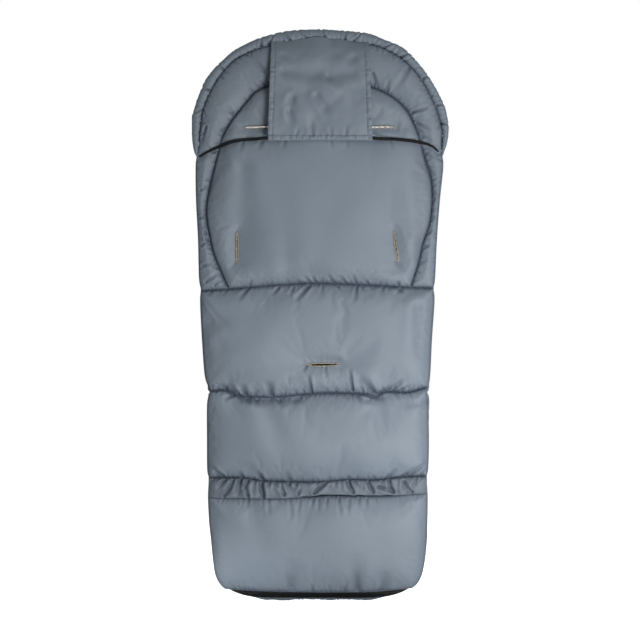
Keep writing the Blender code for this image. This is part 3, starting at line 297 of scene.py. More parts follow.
def line_distance(points, line, closed=True):
    """Distance of each point from a line of points."""
    near = np.full(len(points), 1.0)
    pairs = zip(line, np.roll(line, -1, axis=0)) if closed else zip(line[:-1], line[1:])
    for a, b in pairs:
        run = b - a
        share = np.clip(((points - a) @ run) / max(run @ run, 1e-12), 0.0, 1.0)
        near = np.minimum(near, np.linalg.norm(points - a - share[:, None] * run, axis=1))
    return near


def cloth_net(outline, holes, steps, seed):
    """Triangles between seams, finer near them, with each point's distance from seam and hole."""
    fine = steps[0][2]
    rings = [np.array(even_loop(outline, fine))] + [np.array(even_loop(h, 0.6 * fine)) for h in holes]
    low, high = rings[0].min(0), rings[0].max(0)
    chance = np.random.default_rng(seed)
    spots = []
    for start, end, step in steps:
        rows = int((high[1] - low[1]) / (0.866 * step)) + 2
        columns = int((high[0] - low[0]) / step) + 2
        j, i = np.meshgrid(np.arange(columns), np.arange(rows))
        grid = np.stack([low[0] + (j + 0.5 * (i % 2)) * step, low[1] + i * 0.866 * step], axis=-1)
        grid = grid.reshape(-1, 2) + chance.normal(0.0, 0.12 * step, (rows * columns, 2))
        grid = grid[inside_loop(grid, rings[0])]
        away = line_distance(grid, rings[0])
        for ring in rings[1:]:
            grid, away = grid[~inside_loop(grid, ring)], away[~inside_loop(grid, ring)]
            away = np.minimum(away, line_distance(grid, ring))
        spots.append(grid[(away >= max(start, 0.6 * fine)) & (away < end)])
    points, edges = [], []
    for ring in rings:
        start, count = len(points), len(ring)
        edges += [(start + k, start + (k + 1) % count) for k in range(count)]
        points += [Vector(p) for p in ring]
    points += [Vector(p) for group in spots for p in group]
    made = delaunay_2d_cdt(points, edges, [], 0, 1e-7)
    plan = np.array([tuple(p) for p in made[0]])
    faces = np.array([tuple(f) for f in made[2]])
    middles = plan[faces].mean(1)
    good = inside_loop(middles, rings[0])
    for ring in rings[1:]:
        good &= ~inside_loop(middles, ring)
    faces = faces[good]
    used, faces = np.unique(faces, return_inverse=True)
    plan, faces = plan[used], faces.reshape(-1, 3)
    right = turned_left(plan, faces) < 0.0
    faces[right] = faces[right][:, ::-1]
    hole_away = np.full(len(plan), 1.0)
    for ring in rings[1:]:
        hole_away = np.minimum(hole_away, line_distance(plan, ring))
    return plan, faces, line_distance(plan, rings[0]), hole_away


def refine(data, faces):
    """One round of Loop subdivision of triangles; border points stay where they are."""
    count = len(data)
    pairs = np.sort(np.concatenate([faces[:, [0, 1]], faces[:, [1, 2]], faces[:, [2, 0]]]), axis=1)
    across = np.concatenate([faces[:, 2], faces[:, 0], faces[:, 1]])
    keys, which, uses = np.unique(pairs[:, 0] * count + pairs[:, 1], return_inverse=True, return_counts=True)
    a, b = keys // count, keys % count
    far = np.zeros((len(keys), data.shape[1]))
    np.add.at(far, which, data[across])
    inner = (uses == 2)[:, None]
    middles = np.where(inner, 0.375 * (data[a] + data[b]) + 0.125 * far, 0.5 * (data[a] + data[b]))
    around, total = np.zeros(count), np.zeros_like(data)
    for p, q in ((a, b), (b, a)):
        np.add.at(around, p, 1.0)
        np.add.at(total, p, data[q])
    pull = np.where(around > 3, 0.375 / np.maximum(around, 1.0), 0.1875)[:, None]
    moved = (1.0 - around[:, None] * pull) * data + pull * total
    border = np.zeros(count, bool)
    border[a[uses == 1]] = border[b[uses == 1]] = True
    moved[border] = data[border]
    third = len(faces)
    ab, bc, ca = which[:third] + count, which[third:2 * third] + count, which[2 * third:] + count
    v0, v1, v2 = faces.T
    finer = np.concatenate([np.stack(t, axis=1) for t in
                            ((v0, ab, ca), (v1, bc, ab), (v2, ca, bc), (ab, bc, ca))])
    return np.concatenate([moved, middles]), finer


def below_limit(height, limit, ease=0.0022):
    """Heights eased off below a limit."""
    return height - ease * np.log1p(np.exp((height - limit) / ease))


def edge_roll(away, reach):
    """Share of the crown that a padded edge has at a distance from its seam."""
    return np.sqrt(1.0 - (1.0 - np.clip(away / reach, 0.0, 1.0)) ** 2)


def pillow(away):
    """Height of the padding: a quick roll at the seam, then a slow rise."""
    return 0.64 * edge_roll(away, 0.026) + 0.36 * edge_roll(away, 0.095)


def swell(plan, size, seed):
    """Slow unevenness of the wadding, from -1 to 1."""
    return np.array([noise.noise(Vector((x / size, z / size, seed))) for x, z in plan])


def fold_depth(plan, folds):
    """Depth of the folds, a sharp valley between two soft ridges each, and the painted shade in their valleys.
    """
    depth, shade = np.zeros(len(plan)), np.zeros(len(plan))
    for x0, z0, x1, z1, width, deep in folds:
        a, run = np.array((x0, z0)), np.array((x1 - x0, z1 - z0))
        long = math.hypot(*run)
        near = np.flatnonzero(np.abs(plan - a - 0.5 * run).max(1) < 0.5 * long + 5.0 * width)
        if not len(near):
            continue
        offset = plan[near] - a
        share = np.clip((offset @ run) / long ** 2, 0.0, 1.0)
        beside = (offset[:, 0] * run[1] - offset[:, 1] * run[0]) / long
        away = np.linalg.norm(offset - share[:, None] * run, axis=1)
        across = np.copysign(away, beside) / (width * (0.75 + 0.5 * share))
        fade = (1.0 - share) ** 0.7 * 0.85 + 0.15 * (1.0 - share)
        valley = np.exp(-across ** 2)
        ridges = 0.48 * np.exp(-((across - 1.9) / 1.1) ** 2) + 0.30 * np.exp(-((across + 1.8) / 1.1) ** 2)
        depth[near] += deep * fade * (valley - ridges)
        # Painted shade in the valley, stronger for narrow folds.
        shade[near] += 260.0 * deep * math.exp(-(width / 0.010) ** 2) * fade * valley
    return depth, shade


def stitch_gathers(line, side, spacing, length, deep, seed):
    """Small folds that leave a seam to its left (side 1) or right (side -1), unevenly spaced."""
    points = np.array(smooth_line(line, 0.004))
    reach = reach_along(points)
    chance = np.random.default_rng(seed)
    folds, spot = [], 0.5 * spacing
    while spot < reach[-1]:
        k = min(np.searchsorted(reach, spot), len(points) - 1)
        (x0, z0), (x1, z1) = points[k - 1], points[k]
        along = np.array((x1 - x0, z1 - z0)) / max(math.hypot(x1 - x0, z1 - z0), 1e-9)
        slant, size = 0.45 * chance.normal(), 0.45 + 1.0 * chance.random()
        way = side * np.array((-along[1], along[0])) + slant * along
        tip = points[k] + way * length * size
        folds.append((x1, z1, tip[0], tip[1], 0.0016 + 0.0008 * chance.random(), deep * size))
        spot += spacing * (0.55 + 0.9 * chance.random())
    return folds


def blow_up(name, places, faces, pinned, slack, pressure=4.0, frames=12):
    """Inflate a pinned sheet as cloth and give the new places of its points."""
    mesh = bpy.data.meshes.new(name + "_cloth")
    mesh.from_pydata(places.tolist(), [], faces.tolist())
    sheet = bpy.data.objects.new(name + "_cloth", mesh)
    bpy.context.scene.collection.objects.link(sheet)
    seams = sheet.vertex_groups.new(name="seams")
    seams.add([int(k) for k in np.flatnonzero(pinned)], 1.0, "REPLACE")
    spare = sheet.vertex_groups.new(name="spare")
    for k in np.flatnonzero(slack > 0.02):
        spare.add([int(k)], float(slack[k]), "REPLACE")
    cloth = sheet.modifiers.new("cloth", "CLOTH")
    settings = cloth.settings
    settings.quality = 4
    settings.mass = 0.3
    settings.bending_stiffness = 0.12
    settings.vertex_group_mass = "seams"
    settings.vertex_group_shrink = "spare"
    settings.shrink_min = -0.006
    settings.shrink_max = -0.11
    settings.use_pressure = True
    settings.uniform_pressure_force = pressure
    settings.effector_weights.gravity = 0.0
    cloth.collision_settings.use_collision = False
    for step in range(1, frames + 1):
        bpy.context.scene.frame_set(step)
    blown = sheet.evaluated_get(bpy.context.evaluated_depsgraph_get())
    moved = np.array([tuple(v.co) for v in blown.data.vertices])
    bpy.data.objects.remove(sheet)
    bpy.context.scene.frame_set(1)
    return moved


def object_spot(tree):
    """The tree's Object coordinates."""
    node = tree.nodes.get("Texture Coordinate") or add_node(tree, "TexCoord")
    return node.outputs["Object"]


def speckle(tree, scale, detail):
    """Noise on the Object coordinates."""
    return add_node(tree, "TexNoise", Scale=scale, Detail=detail, Vector=object_spot(tree)).outputs["Fac"]


def threads(tree, way, scale, uneven):
    """Bands on the Object coordinates, along X or Z."""
    return add_node(tree, "TexWave", bands_direction=way, Scale=scale, Distortion=uneven,
                    Vector=object_spot(tree)).outputs["Fac"]


def two_tone(tree, driver, first, second):
    """Base colour that changes between two tones with the driver's value."""
    shade = add_node(tree, "Mix", data_type="RGBA", A=(*first, 1.0), B=(*second, 1.0), Factor=driver)
    tree.links.new(shade.outputs["Result"], tree.nodes["Principled BSDF"].inputs["Base Color"])


def uneven_gloss(tree, low, high, driver):
    """Roughness that changes between two values."""
    gloss = add_node(tree, "MapRange", To_Min=low, To_Max=high, Value=driver)
    tree.links.new(gloss.outputs["Result"], tree.nodes["Principled BSDF"].inputs["Roughness"])


def bump(tree, height, depth, strength, under=None):
    """Bump on top of an earlier one, on the shader's Normal."""
    node = add_node(tree, "Bump", Distance=depth, Strength=strength, Height=height)
    if under:
        tree.links.new(under, node.inputs["Normal"])
    tree.links.new(node.outputs["Normal"], tree.nodes["Principled BSDF"].inputs["Normal"])
    return node.outputs["Normal"]


def woven(tree, scale, depth, strength, under=None):
    """Bump of crossed threads on top of an earlier bump."""
    for way in "XZ":
        under = bump(tree, threads(tree, way, scale, 0.4), depth, strength, under)


def satin_nylon(name, dark, light):
    """Woven nylon with a soft sheen: fine weave, small crinkles, and painted shade in creases, seams and round
    slots.
    """
    material, tree = new_finish(name, Specular_IOR_Level=0.42, Sheen_Weight=0.10, Sheen_Roughness=0.35,
                                Sheen_Tint=(0.75, 0.86, 1.0, 1.0))
    two_tone(tree, speckle(tree, 6.0, 2.0), dark, light)
    colour = tree.nodes["Principled BSDF"].inputs["Base Color"]
    # Painted shade: the colour is multiplied towards the shade colour by each point's stored painted shade.
    fold = add_node(tree, "Attribute", attribute_name="painted_shade").outputs["Fac"]
    deeper = add_node(tree, "Mix", data_type="RGBA", blend_type="MULTIPLY", A=colour.links[0].from_socket,
                      B=PAINTED_SHADE_COLOUR, Factor=fold)
    tree.links.new(deeper.outputs["Result"], colour)
    uneven_gloss(tree, 0.42, 0.56, speckle(tree, 18.0, 2.0))
    woven(tree, 700.0, 0.00012, 0.12, bump(tree, speckle(tree, 60.0, 4.0), 0.0012, 0.40))
    return material


shell_nylon = satin_nylon("shell_nylon", NYLON_DARK, NYLON_LIGHT)


def store_painted_shade(mesh, amounts):
    """Keep each point's painted shade, from 0 to 1, by which the cloth's colour is darkened."""
    values = np.zeros(len(mesh.vertices), np.float32)
    values[:len(amounts)] = amounts
    mesh.attributes.new("painted_shade", "FLOAT", "POINT").data.foreach_set("value", values)


def mesh_piece(name, places, faces, material, smooth=True, outwards=False):
    """A mesh object from points and faces, which can be turned outwards."""
    mesh = bpy.data.meshes.new(name)
    mesh.from_pydata(places, [], faces)
    mesh.update()
    if outwards:
        bm = bmesh.new()
        bm.from_mesh(mesh)
        bmesh.ops.recalc_face_normals(bm, faces=bm.faces)
        bm.to_mesh(mesh)
        bm.free()
    if smooth:
        mesh.shade_smooth()
    mesh.materials.append(material)
    piece = bpy.data.objects.new(name, mesh)
    bpy.context.scene.collection.objects.link(piece)
    return piece


def closed_pad(name, top, under, faces, plan, material, inner, inner_under):
    """A closed pad: shaped top, rim walls, and an underside spanned between its rims and inner points."""
    directed = np.concatenate([faces[:, [0, 1]], faces[:, [1, 2]], faces[:, [2, 0]]])
    count = len(top)
    forward = directed[:, 0] * count + directed[:, 1]
    backward = directed[:, 1] * count + directed[:, 0]
    rim = directed[~np.isin(forward, backward)]
    rim_points = np.unique(rim)
    slot = {int(v): k for k, v in enumerate(rim_points)}
    edges = [(slot[int(a)], slot[int(b)]) for a, b in rim]
    net = [Vector(plan[v]) for v in rim_points] + [Vector(spot) for spot in inner]
    made = delaunay_2d_cdt(net, edges, [], 0, 1e-8)
    spots = np.array([tuple(p) for p in made[0]])
    names = [group[0] for group in made[3]]
    base = np.array([tuple(f) for f in made[2]])
    base = base[inside_edges(spots[base].mean(1), plan[rim])]
    left = turned_left(spots, base) > 0.0
    base[left] = base[left][:, ::-1]
    skin = faces.tolist()
    skin += [[names[v] + count for v in face] for face in base.tolist()]
    skin += [[int(b), int(a), slot[int(a)] + count, slot[int(b)] + count] for a, b in rim]
    places = np.concatenate([top, under[rim_points], np.reshape(inner_under, (-1, 3))])
    return mesh_piece(name, places.tolist(), skin, material)


def on_back(plan, height):
    """Places on the flat back of the muff, with the height towards -Y."""
    return np.stack([plan[:, 0], -height, plan[:, 1]], axis=1)


def quilt(name, outline, body, nodes, place=on_back, curved=False, crown=0.020, low=SEAM_DEPTH,
          base=BASE_DEPTH, folds=(), holes=(), slack=0.35, steps=NET_STEPS, seed=1, limit=0.0270, press=None,
          material=shell_nylon, unevenness=0.0022, frames=12):
    """One quilted panel, blown up between its seams and set in its place on the muff."""
    plan, faces, away, hole_away = cloth_net(outline, holes, steps, seed)
    rise = pillow(away) * (1.0 - 0.42 * np.exp(-(hole_away / 0.012) ** 2))
    height = low + (0.74 * crown - low) * rise + unevenness * swell(plan, 0.070, seed) * rise
    sheet = on_back(plan, height)
    pinned = (away < 1e-5) | (hole_away < 1e-5)
    uneven = np.clip(0.5 + 0.9 * swell(plan, 0.040, seed + 9.0), 0.0, 1.0)
    loose = slack * uneven * np.exp(-(away / 0.022) ** 2)
    push = blow_up(name, sheet, faces, pinned, loose, frames=frames) - sheet
    length = np.maximum(np.linalg.norm(push, axis=1, keepdims=True), 1e-9)
    sheet = sheet + push * PUSH_MOST * np.tanh(length / PUSH_MOST) / length
    inner = plan[np.minimum(away, hole_away) > UNDERSIDE_GAP] if curved else plan[:0]
    data, faces = refine(np.column_stack([sheet, away, hole_away]), faces)
    plan, height, away = data[:, [0, 2]], -data[:, 1], data[:, 3]
    creases, painted_fold_shade = fold_depth(plan, folds)
    height = height - creases * edge_roll(away, 0.005)
    # Painted shade for the nylon's colour: dark in the seams, round the slot holes and in the folds' valleys.
    shade = 0.60 * np.exp(-(away / 0.0030) ** 2) + 0.22 * np.exp(-(away / 0.009) ** 2)
    shade += 0.60 * np.exp(-(data[:, 4] / 0.0020) ** 2)
    shade = np.clip(shade + painted_fold_shade, 0.0, 0.90)
    if press:
        height = height - press(plan) * edge_roll(away, 0.010)
    floor = low + 0.10 * np.clip(away, 0.0, 0.02)
    height = below_limit(np.maximum(height, floor), limit)
    top = place(plan, height)
    under = place(plan, np.full(len(plan), base))
    a, b, c = top[faces[:, 0]], top[faces[:, 1]], top[faces[:, 2]]
    turn = 1.0
    if np.sum(np.cross(b - a, c - a) * (place(plan, height + 0.001)[faces[:, 0]] - a)) < 0.0:
        faces, turn = faces[:, ::-1], -1.0
    inner_under = place(inner, np.full(len(inner), base)) if len(inner) else ()
    mirror = (turn, 1.0)
    piece = closed_pad(name, top, under, faces, plan * mirror, material, inner * mirror, inner_under)
    store_painted_shade(piece.data, shade)
    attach(piece, body)
    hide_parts(*nodes)
    return piece


def slot_loop(place, spread, step):
    """Outline of a nearly closed harness slot that opens a little towards its middle."""
    x, z, length, tilt, gape = place
    turn = math.radians(tilt)
    share = np.linspace(-1.0, 1.0, 61)
    half = (spread + gape * (1.0 - share ** 2)) * np.sqrt(1.0 - share ** 12)
    along = np.concatenate([share, share[-2:0:-1]]) * 0.5 * length
    across = np.concatenate([-half, half[-2:0:-1]])
    loop = np.stack([x + along * math.cos(turn) - across * math.sin(turn),
                     z + along * math.sin(turn) + across * math.cos(turn)], axis=1)
    return even_loop([tuple(p) for p in loop], step)


def elastic_press(plan):
    """The stretched elastic lies in a groove that it presses into the padding."""
    away = line_distance(plan, np.array(smooth_line(ELASTIC_LINE, 0.008)), closed=False)
    beside = np.clip((np.abs(plan[:, 0]) - 0.080) / 0.020, 0.25, 1.0)
    return beside * (0.0036 * np.exp(-(away / 0.0065) ** 2) + 0.0016 * np.exp(-(away / 0.018) ** 2))


SLOT_CUT = 0.0013
SLOT_STEP = 0.0014
SHOULDER_SLOTS = [(-0.1060, -0.1532, 0.050, 2.0, 0.0002), (0.1085, -0.1532, 0.052, 1.0, 0.0003)]
WAIST_SLOTS = [(-0.1440, -0.3665, 0.054, 90.5, 0.0004), (0.1370, -0.3640, 0.054, 98.0, 0.0003)]
CROTCH_SLOT = (0.0080, -0.5735, 0.060, 1.0, 0.0012)
upper_cuts = [slot_loop(place, SLOT_CUT, SLOT_STEP) for place in SHOULDER_SLOTS + WAIST_SLOTS]
crotch_cut = slot_loop(CROTCH_SLOT, SLOT_CUT, SLOT_STEP)

CENTRE_FOLDS = tenths(
    (-1320, -2250, -1373, -4093, 200, 36), (-540, -4288, -576, -2463, 180, 20),
    (1799, -3881, 1763, -2109, 100, 18), (-1219, -4324, -1170, -4217, 26, 24),
    (-117, -4308, -266, -4173, 26, 28), (-27, -4299, -124, -4178, 26, 26), (71, -4295, 53, -4173, 26, 22),
    (280, -4294, 151, -4143, 28, 30), (486, -4294, 372, -4161, 28, 30), (661, -4297, 599, -4129, 28, 28),
    (877, -4306, 806, -4209, 26, 22), (-310, -4311, -399, -4217, 24, 18), (-558, -4317, -523, -4217, 24, 16),
    (-859, -4327, -824, -4235, 24, 16), (1418, -4324, 1400, -4244, 34, 36),
    (-1338, -1807, -1391, -1985, 40, 22), (-1001, -1781, -1072, -1949, 40, 20),
    (-594, -1772, -629, -1931, 36, 16), (221, -1772, 239, -1914, 30, 16), (505, -1772, 532, -1896, 30, 14),
    (1267, -1772, 1320, -1931, 36, 16), (-1462, -3916, -1604, -4058, 40, 12),
    (1391, -3916, 1515, -4093, 40, 12))
arch_line = smooth_line(ARCH_SEAM, 0.0025)
waist_in = seam_between(WAIST_SEAM, ARCH_SEAM[-1][0], ARCH_SEAM[0][0], SEAM_GAP)[1:-1]
fine_folds = stitch_gathers(waist_in[::-1], 1, 0.010, 0.007, 0.0012, 31)
fine_folds += stitch_gathers(ARCH_SEAM[::-1], -1, 0.016, 0.007, 0.0008, 32)
centre_quilt = quilt("centre_panel_quilt", arch_line + waist_in, "muff_back",
                     ["centre_panel_outer", "centre_panel_wadding"], crown=0.0200,
                     folds=CENTRE_FOLDS + fine_folds, holes=upper_cuts, seed=3, limit=0.0240,
                     press=elastic_press)

SEAT_FOLDS = tenths(
    (-1887, -4979, -718, -4802, 200, 36), (-1710, -5387, -1001, -5121, 180, 24),
    (1763, -4731, 1799, -5865, 120, 28), (346, -5662, -204, -5662, 70, 18),
    (-1219, -4347, -1430, -4602, 36, 40), (-719, -4380, -836, -4513, 36, 30),
    (-441, -4368, -523, -4536, 30, 20), (-168, -4338, -425, -4616, 38, 46), (74, -4338, 44, -4527, 30, 20),
    (338, -4338, 416, -4421, 26, 24), (680, -4352, 636, -4630, 32, 34), (780, -4338, 789, -4430, 34, 26),
    (1146, -4356, 1102, -4536, 38, 24), (1441, -4350, 1455, -4474, 46, 60),
    (-1869, -4412, -1940, -4536, 30, 18), (-1604, -4386, -1710, -4519, 30, 18),
    (-1506, -6246, -1754, -6078, 36, 42), (-1409, -6273, -1630, -6051, 34, 40),
    (-1274, -6299, -1366, -6078, 46, 50), (-836, -6291, -895, -6016, 55, 50),
    (-1134, -6308, -1081, -6149, 36, 26), (-117, -6225, -195, -5901, 28, 52),
    (608, -6184, 533, -5812, 28, 50), (1028, -6264, 709, -5963, 60, 54), (780, -6211, 727, -6025, 34, 24),
    (1063, -6252, 1285, -6085, 30, 34), (1125, -6243, 1513, -5982, 30, 34),
    (1294, -6211, 1480, -6025, 28, 26), (1400, -6207, 1692, -6078, 28, 24),
    (-602, -6282, -567, -6167, 30, 18), (-390, -6269, -416, -6158, 30, 20), (124, -5786, 142, -5989, 28, 20),
    (310, -6237, 292, -6113, 28, 18), (-213, -5759, -292, -5865, 30, 20))
knee_in = seam_between(KNEE_SEAM, side_at(LEFT_SIDE, -0.6195), side_at(RIGHT_SIDE, -0.6140), SEAM_GAP)
waist_out = seam_between(WAIST_SEAM, side_at(RIGHT_SIDE, -0.4380), side_at(LEFT_SIDE, -0.4400), -SEAM_GAP)
seat_outline = knee_in + side_between(RIGHT_SIDE, knee_in[-1][1], waist_out[0][1])[1:-1]
seat_outline += waist_out + side_between(LEFT_SIDE, waist_out[-1][1], knee_in[0][1])[1:-1]
fine_folds = stitch_gathers(waist_out, 1, 0.011, 0.007, 0.0013, 33)
fine_folds += stitch_gathers(knee_in, 1, 0.009, 0.009, 0.0016, 34)
seat_quilt = quilt("seat_panel_quilt", seat_outline, "muff_back", ["seat_panel_outer", "seat_panel_wadding"],
                   crown=0.0205, folds=SEAT_FOLDS + fine_folds, holes=[crotch_cut], seed=5)

KNEE_FOLDS = tenths(
    (-1356, -6335, -115, -6344, 85, 24), (-328, -6344, -1533, -6308, 85, 22),
    (877, -6344, 1373, -6326, 80, 22), (-930, -6432, -470, -7637, 200, 38),
    (1940, -6397, 1409, -6432, 90, 24), (-1506, -6269, -1692, -6353, 34, 26),
    (-1267, -6299, -1205, -6432, 50, 32), (-1116, -6305, -1054, -6459, 50, 36),
    (-727, -6326, -611, -6477, 55, 38), (-328, -6287, -470, -6423, 45, 24), (682, -6264, 780, -6432, 38, 30),
    (877, -6269, 1178, -6344, 36, 32), (1356, -6229, 1435, -6353, 34, 22),
    (-159, -6269, -230, -6353, 30, 18), (-1643, -7744, -1958, -7504, 30, 32),
    (-1728, -7747, -1869, -7611, 28, 24), (-1340, -7754, -1418, -7620, 36, 34),
    (-983, -7783, -1111, -7602, 40, 38), (-505, -7800, -602, -7620, 50, 28),
    (-292, -7800, -328, -7690, 34, 18), (221, -7797, 168, -7708, 30, 16), (532, -7783, 514, -7682, 36, 30),
    (983, -7783, 957, -7673, 30, 18), (1196, -7772, 1391, -7566, 34, 34), (1435, -7747, 1781, -7522, 32, 36),
    (1586, -7729, 1949, -7416, 30, 30), (1799, -7719, 1923, -7549, 28, 22))
strip_in = seam_between(STRIP_SEAM, side_at(LEFT_SIDE, -0.7744), side_at(RIGHT_SIDE, -0.7720), SEAM_GAP)
knee_out = seam_between(KNEE_SEAM, side_at(RIGHT_SIDE, -0.6140), side_at(LEFT_SIDE, -0.6195), -SEAM_GAP)
knee_outline = strip_in + side_between(RIGHT_SIDE, strip_in[-1][1], knee_out[0][1])[1:-1]
knee_outline += knee_out + side_between(LEFT_SIDE, knee_out[-1][1], strip_in[0][1])[1:-1]
fine_folds = stitch_gathers(knee_out, 1, 0.010, 0.008, 0.0014, 35)
fine_folds += stitch_gathers(strip_in, 1, 0.009, 0.007, 0.0013, 36)
quilt("knee_panel_quilt", knee_outline, "muff_back", ["knee_panel_outer", "knee_panel_wadding"],
      crown=0.0205, folds=KNEE_FOLDS + fine_folds, seed=7)

FOOT_FOLDS = tenths(
    (-434, -9764, -505, -9126, 130, 34), (664, -9764, 629, -9055, 130, 34),
    (1161, -9764, 1161, -9374, 90, 26), (-1178, -8133, -1001, -9197, 180, 26),
    (-1240, -8116, -1249, -8275, 26, 18), (-886, -8116, -868, -8399, 34, 18),
    (-505, -8116, -470, -8488, 36, 16), (-328, -8116, -381, -8523, 34, 16),
    (-97, -8116, -142, -8311, 30, 16), (9, -8116, -9, -8346, 28, 16), (151, -8116, 133, -8346, 30, 16),
    (363, -8116, 390, -8452, 32, 18), (549, -8116, 514, -8417, 32, 16), (709, -8116, 718, -8275, 30, 14),
    (851, -8116, 859, -8311, 30, 14), (-1462, -9702, -1550, -9622, 24, 18),
    (-1373, -9719, -1453, -9631, 24, 18), (-1285, -9737, -1364, -9640, 24, 20),
    (-1196, -9746, -1285, -9657, 24, 20), (-1090, -9755, -1196, -9666, 24, 20),
    (-470, -9764, -558, -9409, 70, 30), (682, -9764, 647, -9338, 70, 32), (-97, -9764, -133, -9587, 32, 22),
    (452, -9764, 523, -9516, 32, 24), (204, -9764, 186, -9622, 30, 16), (1090, -9746, 1161, -9516, 50, 20))
foot_top = seam_between(FOOT_TOP, side_at(RIGHT_SIDE, -0.8000), side_at(LEFT_SIDE, -0.8070))
foot_outline = smooth_line(FOOT_EDGE, 0.0025)
foot_outline += side_between(RIGHT_SIDE, RIGHT_SIDE[-1][1], foot_top[0][1])[1:]
foot_outline += foot_top[1:-1] + side_between(LEFT_SIDE, foot_top[-1][1], LEFT_SIDE[-1][1])[:-1]
fine_folds = stitch_gathers(foot_top, 1, 0.010, 0.014, 0.0009, 37)
fine_folds += stitch_gathers(FOOT_EDGE, 1, 0.010, 0.006, 0.0010, 38)
quilt("foot_panel_quilt", foot_outline, "muff_back", ["foot_panel_outer", "foot_panel_wadding"],
      crown=0.0200, folds=FOOT_FOLDS + fine_folds, seed=11)


# Hood surround. The ring of quilted nylon between the hood's outer seam and the arch, cut in
# one piece, so its spare cloth runs in folds from seam to seam.
SURROUND_FOLDS = tenths(
    (-895, -806, -1099, -718, 28, 26), (-1001, -842, -1178, -771, 28, 22),
    (-1143, -921, -1285, -833, 28, 18), (-957, -549, -1196, -284, 50, 26),
    (-1515, -1276, -1710, -1152, 45, 16), (-1995, -1524, -2103, -1896, 30, 32),
    (-1444, -1524, -1869, -1648, 32, 26), (-1533, -1506, -1763, -1595, 30, 20),
    (-1852, -1967, -2011, -1861, 34, 24), (957, -585, 1037, -851, 34, 26), (1639, -443, 1329, -904, 50, 24),
    (1196, -904, 1249, -673, 34, 18), (1657, -1267, 1958, -1170, 30, 34), (1745, -1453, 1993, -1595, 30, 30),
    (1816, -1683, 2029, -1772, 30, 22), (1869, -1985, 2100, -2073, 34, 20),
    (1912, -2215, 2047, -2392, 28, 26), (1940, -2428, 2064, -2569, 28, 22),
    (1976, -2676, 2082, -2871, 28, 24), (1967, -2924, 2082, -2747, 28, 20),
    (1940, -3207, 2073, -3066, 28, 22), (1896, -3455, 2029, -3314, 28, 20),
    (1816, -3703, 1993, -3579, 30, 22), (1728, -3987, 1923, -3845, 32, 20),
    (-2091, -2640, -1985, -2587, 30, 20), (-2109, -3136, -1940, -3101, 30, 24),
    (-2020, -3367, -1878, -3774, 30, 24), (-2091, -3633, -1923, -3509, 28, 20),
    (-2056, -3987, -1852, -3916, 30, 20), (-1993, -4271, -1763, -4093, 34, 24),
    (-1843, -4333, -1710, -4164, 30, 20))
arch_out = [(x * 1.0016, z + 0.0003) for x, z in arch_line]
outer_line = side_between(RIGHT_SIDE, waist_out[0][1] + 2.0 * SEAM_GAP, -0.1595)[:-1]
outer_line += smooth_line(HOOD_SEAM, 0.0025)[::-1]
outer_line += side_between(LEFT_SIDE, -0.1754, waist_out[-1][1] + 2.0 * SEAM_GAP)[1:]
left_foot = seam_between(WAIST_SEAM, outer_line[-1][0], arch_out[0][0], SEAM_GAP)[1:]
right_foot = seam_between(WAIST_SEAM, arch_out[-1][0], outer_line[0][0], SEAM_GAP)[:-1]
fine_folds = stitch_gathers(ARCH_SEAM, 1, 0.0085, 0.0085, 0.0016, 39)
fine_folds += stitch_gathers(HOOD_SEAM[::-1], 1, 0.010, 0.008, 0.0015, 40)
fine_folds += stitch_gathers(LEFT_SIDE[1:7], 1, 0.013, 0.008, 0.0011, 41)
fine_folds += stitch_gathers(RIGHT_SIDE[1:7], -1, 0.013, 0.008, 0.0011, 42)
surround_quilt = quilt("hood_surround_quilt", outer_line + left_foot + arch_out[1:-1] + right_foot, "muff_back",
                       ["hood_surround_outer", "hood_surround_wadding"], crown=0.0150,
                       folds=SURROUND_FOLDS + fine_folds, seed=13, limit=0.0175, press=elastic_press)


# Seam allowances. Where the panels are quilted down, the turned-in edges of the nylon lie flat
# on the fleece and close the stitch line from behind.
ALLOWANCE = 0.0060
ALLOWANCE_Y = (-0.00030, -0.00005)


def unit(rows):
    """Rows of an array at length 1."""
    return rows / np.maximum(np.linalg.norm(rows, axis=1, keepdims=True), 1e-9)


def along_line(points):
    """Steps along an open line, from the point before each point to the one after."""
    return np.vstack([points[1:], points[-1:]]) - np.vstack([points[:1], points[:-1]])


def tube_piece(name, rings, material, smooth=True):
    """A closed tube through rings of points, with its two ends capped."""
    count, sides = rings.shape[:2]
    index = np.arange(count * sides).reshape(count, sides)
    a, b = index[:-1], index[1:]
    quads = np.stack([a, np.roll(a, -1, axis=1), np.roll(b, -1, axis=1), b], axis=-1).reshape(-1, 4)
    faces = quads.tolist() + [index[0].tolist()[::-1], index[-1].tolist()]
    return mesh_piece(name, rings.reshape(-1, 3).tolist(), faces, material, smooth, outwards=True)


def ribbon(name, line, width, near, far, material, finish):
    """A flat strip on the back, along a line in its plane and between two depths."""
    points = np.array(line)
    along = unit(along_line(points))
    side = np.stack([-along[:, 1], along[:, 0]], axis=1) * 0.5 * width
    rings = [[(q[0], y, q[1]) for q, y in ((p - s, near), (p + s, near), (p + s, far), (p - s, far))]
             for p, s in zip(points, side)]
    piece = tube_piece(name, np.array(rings), material, smooth=False)
    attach(piece, "muff_back")
    return piece


for word, line in (("arch", ARCH_SEAM), ("waist", WAIST_SEAM[1:-1]), ("knee", KNEE_SEAM[1:-1]),
                   ("hood", HOOD_SEAM)):
    ribbon("seam_allowance_" + word, smooth_line(line, 0.006), ALLOWANCE, *ALLOWANCE_Y, shell_nylon,
           "shell_nylon")
strip_stitches = [(x, z - 0.0055) for x, z in smooth_line(STRIP_SEAM, 0.006) if -0.194 < x < 0.191]
ribbon("seam_allowance_strip", strip_stitches, 0.0170, *ALLOWANCE_Y, shell_nylon, "shell_nylon")


